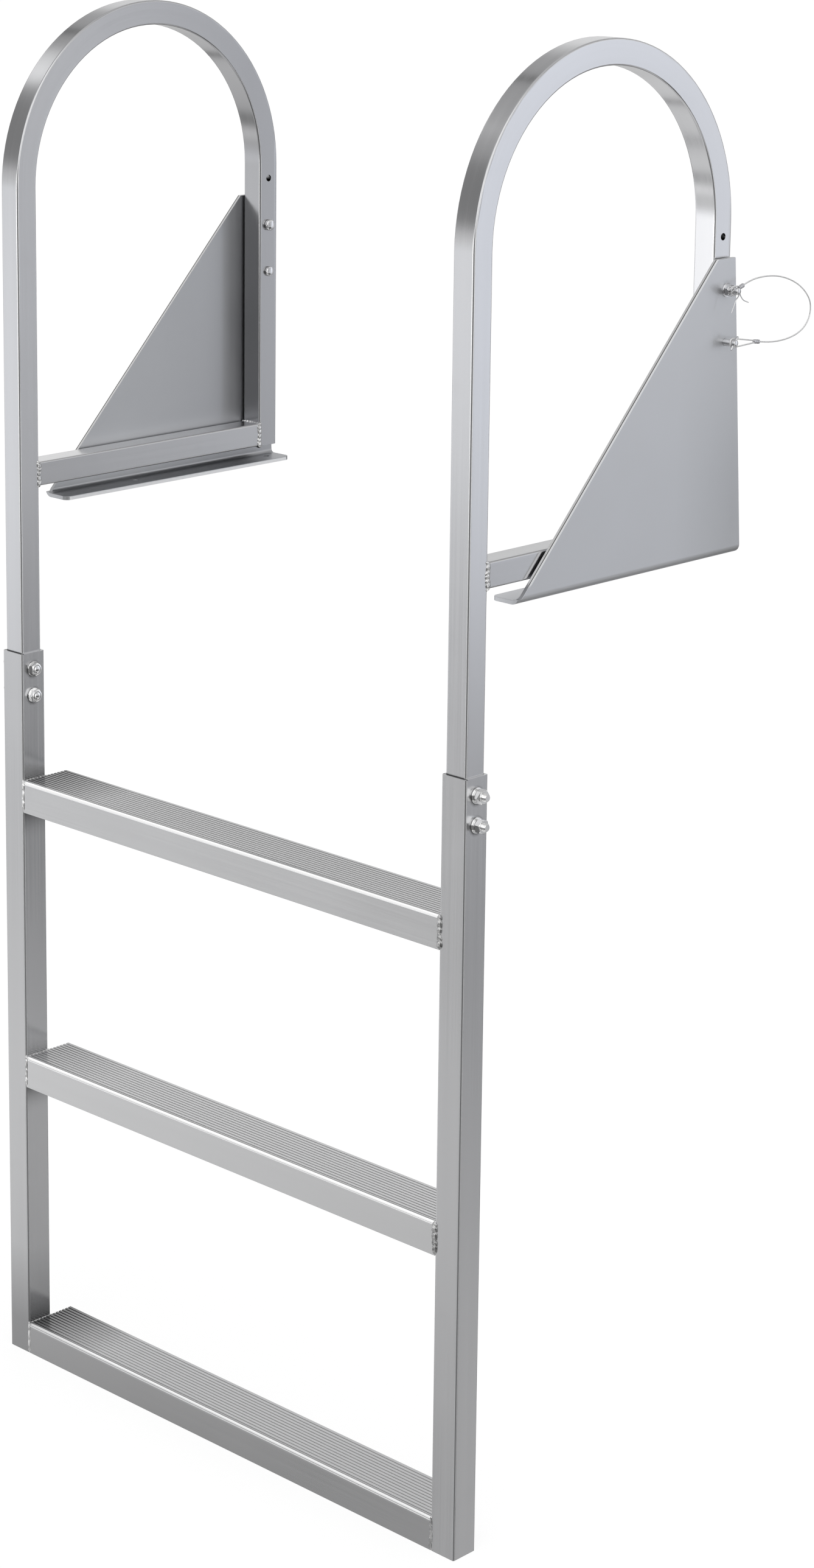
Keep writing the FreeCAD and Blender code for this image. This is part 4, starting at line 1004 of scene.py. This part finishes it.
# Studio round the part: a plain room with soft panels, each painted over the
# last. A panel is a stretch of compass angle and elevation in degrees, with
# the softness of its edges, its brightness and its tint.
world = bpy.data.worlds.new("studio")
bpy.context.scene.world = world
world.use_nodes = True
g = Graph(world.node_tree)
world.node_tree.nodes.clear()
out = g.add("ShaderNodeOutputWorld")
direction = g.add("ShaderNodeTexCoord").outputs["Generated"]
sep = g.add("ShaderNodeSeparateXYZ")
g.join(direction, sep.inputs[0])
wx, wy, wz = sep.outputs
turn = g.math("FRACT", g.math("DIVIDE", g.math("ARCTAN2", wy, wx), 2 * math.pi))
height = g.math("ADD", g.math("DIVIDE", g.math("ARCSINE", wz), math.pi), 0.5)


def ramp(value, stops, mode="LINEAR"):
    r = g.add("ShaderNodeValToRGB")
    g.join(value, r.inputs[0])
    cr = r.color_ramp
    cr.interpolation = mode
    while len(cr.elements) > 1:
        cr.elements.remove(cr.elements[0])
    for i, (where, level) in enumerate(stops):
        e = cr.elements[0] if i == 0 else cr.elements.new(where)
        e.position = where
        e.color = level if hasattr(level, "__len__") else (level, level, level, 1.0)
    return r.outputs[0]


def window(value, a, b, soft, scale, offset):
    stops = [((a - soft) / scale + offset, 0.0), (a / scale + offset, 1.0),
             (b / scale + offset, 1.0), ((b + soft) / scale + offset, 0.0)]
    stops = [(min(1.0, max(0.0, w)), v) for w, v in stops]
    return ramp(value, stops, "EASE")


ROOM = [(-90, 0.66), (-50, 0.80), (-36, 0.74), (-27, 0.62), (-24, 0.68), (-18, 0.62), (-5, 0.70), (6, 0.70), (20, 0.66),
        (45, 0.62), (90, 0.62)]
PANELS = [
    # from, to, soft, low, high, soft, brightness, tint
    ("back_left", 108, 166, 12, 15, 23, 5.5, 0.87, 0.0),
    ("back_left_low", 108, 166, 12, 2, 9, 5, 0.82, 0.0),
    ("back_gap", 70, 104, 10, -30, 3, 8, 0.36, 0.0),
    ("under_back", 66, 118, 8, -70, -34, 6, 0.30, 0.0),
    ("right_wall_far", 24, 45, 4, -9, 6, 8, 0.62, 0.02),
    ("right_wall", 47.5, 50, 2.5, -10.5, 4, 8, 1.42, 0.07),
    ("right_wall_end", 58, 66, 4, -9, 4, 9, 0.80, 0.04),
    ("right_high", 20, 66, 8, 9, 22, 6, 1.0, 0.0),
    ("right_dip_far", 26, 44, 4, -18.6, -15.0, 2.2, 0.10, 0.02),
    ("right_dip", 47, 66, 4, -22, -18, 3, 0.42, 0.02),
    ("right_mid_far", 26, 42, 3, -21.8, -20.2, 1.3, 0.85, 0.0),
    ("right_low_far", 20, 41, 4, -60, -25.8, 2.0, 0.10, 0.0),
    ("right_strip", 6, 22, 6, -12, 3, 6, 1.5, 0.0),
    ("left_wall", 196, 229, 8, -13, -8, 5, 1.06, 0.02),
    ("left_low", 188, 229, 5, -23.5, -20.5, 3, 1.04, 0.0),
    ("left_low_right", 225, 236, 4, -20, -14, 4, 0.50, 0.0),
    ("left_bright", 236, 274, 4, -9, -2, 5, 2.3, -0.01),
    ("left_high", 146, 224, 8, 30, 64, 6, 0.44, 0.0),
    ("left_flag", 192, 262, 10, 6, 28, 7, 0.27, 0.0),
    ("softbox", 183, 199, 8, 35, 39, 4, 1.25, 0.0),
    ("low_front", 200, 226, 4, -31, -27, 2, 0.28, 0.0),
    ("camera_side", 284, 350, 8, -48, -3, 6, 0.20, 0.0),
    ("camera_side_high", 284, 357, 6, 5, 60, 4, 1.15, 0.0),
    # thin dark gaps between the panels, which only polished steel shows
    ("gap_a", 241, 244, 1, -60, 60, 6, 0.03, 0.0),
    ("gap_b", 163, 166, 1, -60, 60, 6, 0.03, 0.0),
    ("gap_c", 68, 71, 1, -60, 60, 6, 0.03, 0.0),
    ("gap_d", 28, 30, 1, -60, 60, 6, 0.03, 0.0),
    ("gap_e", 96, 99, 1, -60, 60, 6, 0.03, 0.0),
]
light = ramp(height, [(e / 180.0 + 0.5, v / 2.0) for e, v in ROOM])
for name, a0, a1, sa, e0, e1, se, level, tint in PANELS:
    mask = g.math("MULTIPLY", window(turn, a0, a1, sa, 360.0, 0.0), window(height, e0, e1, se, 180.0, 0.5))
    light = g.mix(mask, light, (level * (1 - tint) / 2.0, level * (1 - tint * 0.4) / 2.0, level * (1 + tint) / 2.0, 1.0))
studio = g.add("ShaderNodeBackground")
g.join(light, studio.inputs["Color"])
studio.inputs["Strength"].default_value = 2.0
plain = g.add("ShaderNodeBackground")
plain.inputs["Color"].default_value = grey(0.985)
plain.inputs["Strength"].default_value = 1.0
path_node = g.add("ShaderNodeLightPath")
mixer = g.add("ShaderNodeMixShader")
g.join(path_node.outputs["Is Camera Ray"], mixer.inputs[0])
g.join(studio.outputs[0], mixer.inputs[1])
g.join(plain.outputs[0], mixer.inputs[2])
g.join(mixer.outputs[0], out.inputs["Surface"])

# A low soft light on the left, over the treads' front edges.
strip = bpy.data.lights.new("strip", "AREA")
strip.shape = "RECTANGLE"
strip.size, strip.size_y = 4.75, 2.2
strip.energy = 21.5
strip.color = (1.0, 1.0, 1.0)
o = link(bpy.data.objects.new("strip", strip))
o.location = (-1.725, -1.34, -0.20)
o.visible_camera = False
o.visible_diffuse = False

# ------------------------------------------------------------------- finish
low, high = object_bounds()
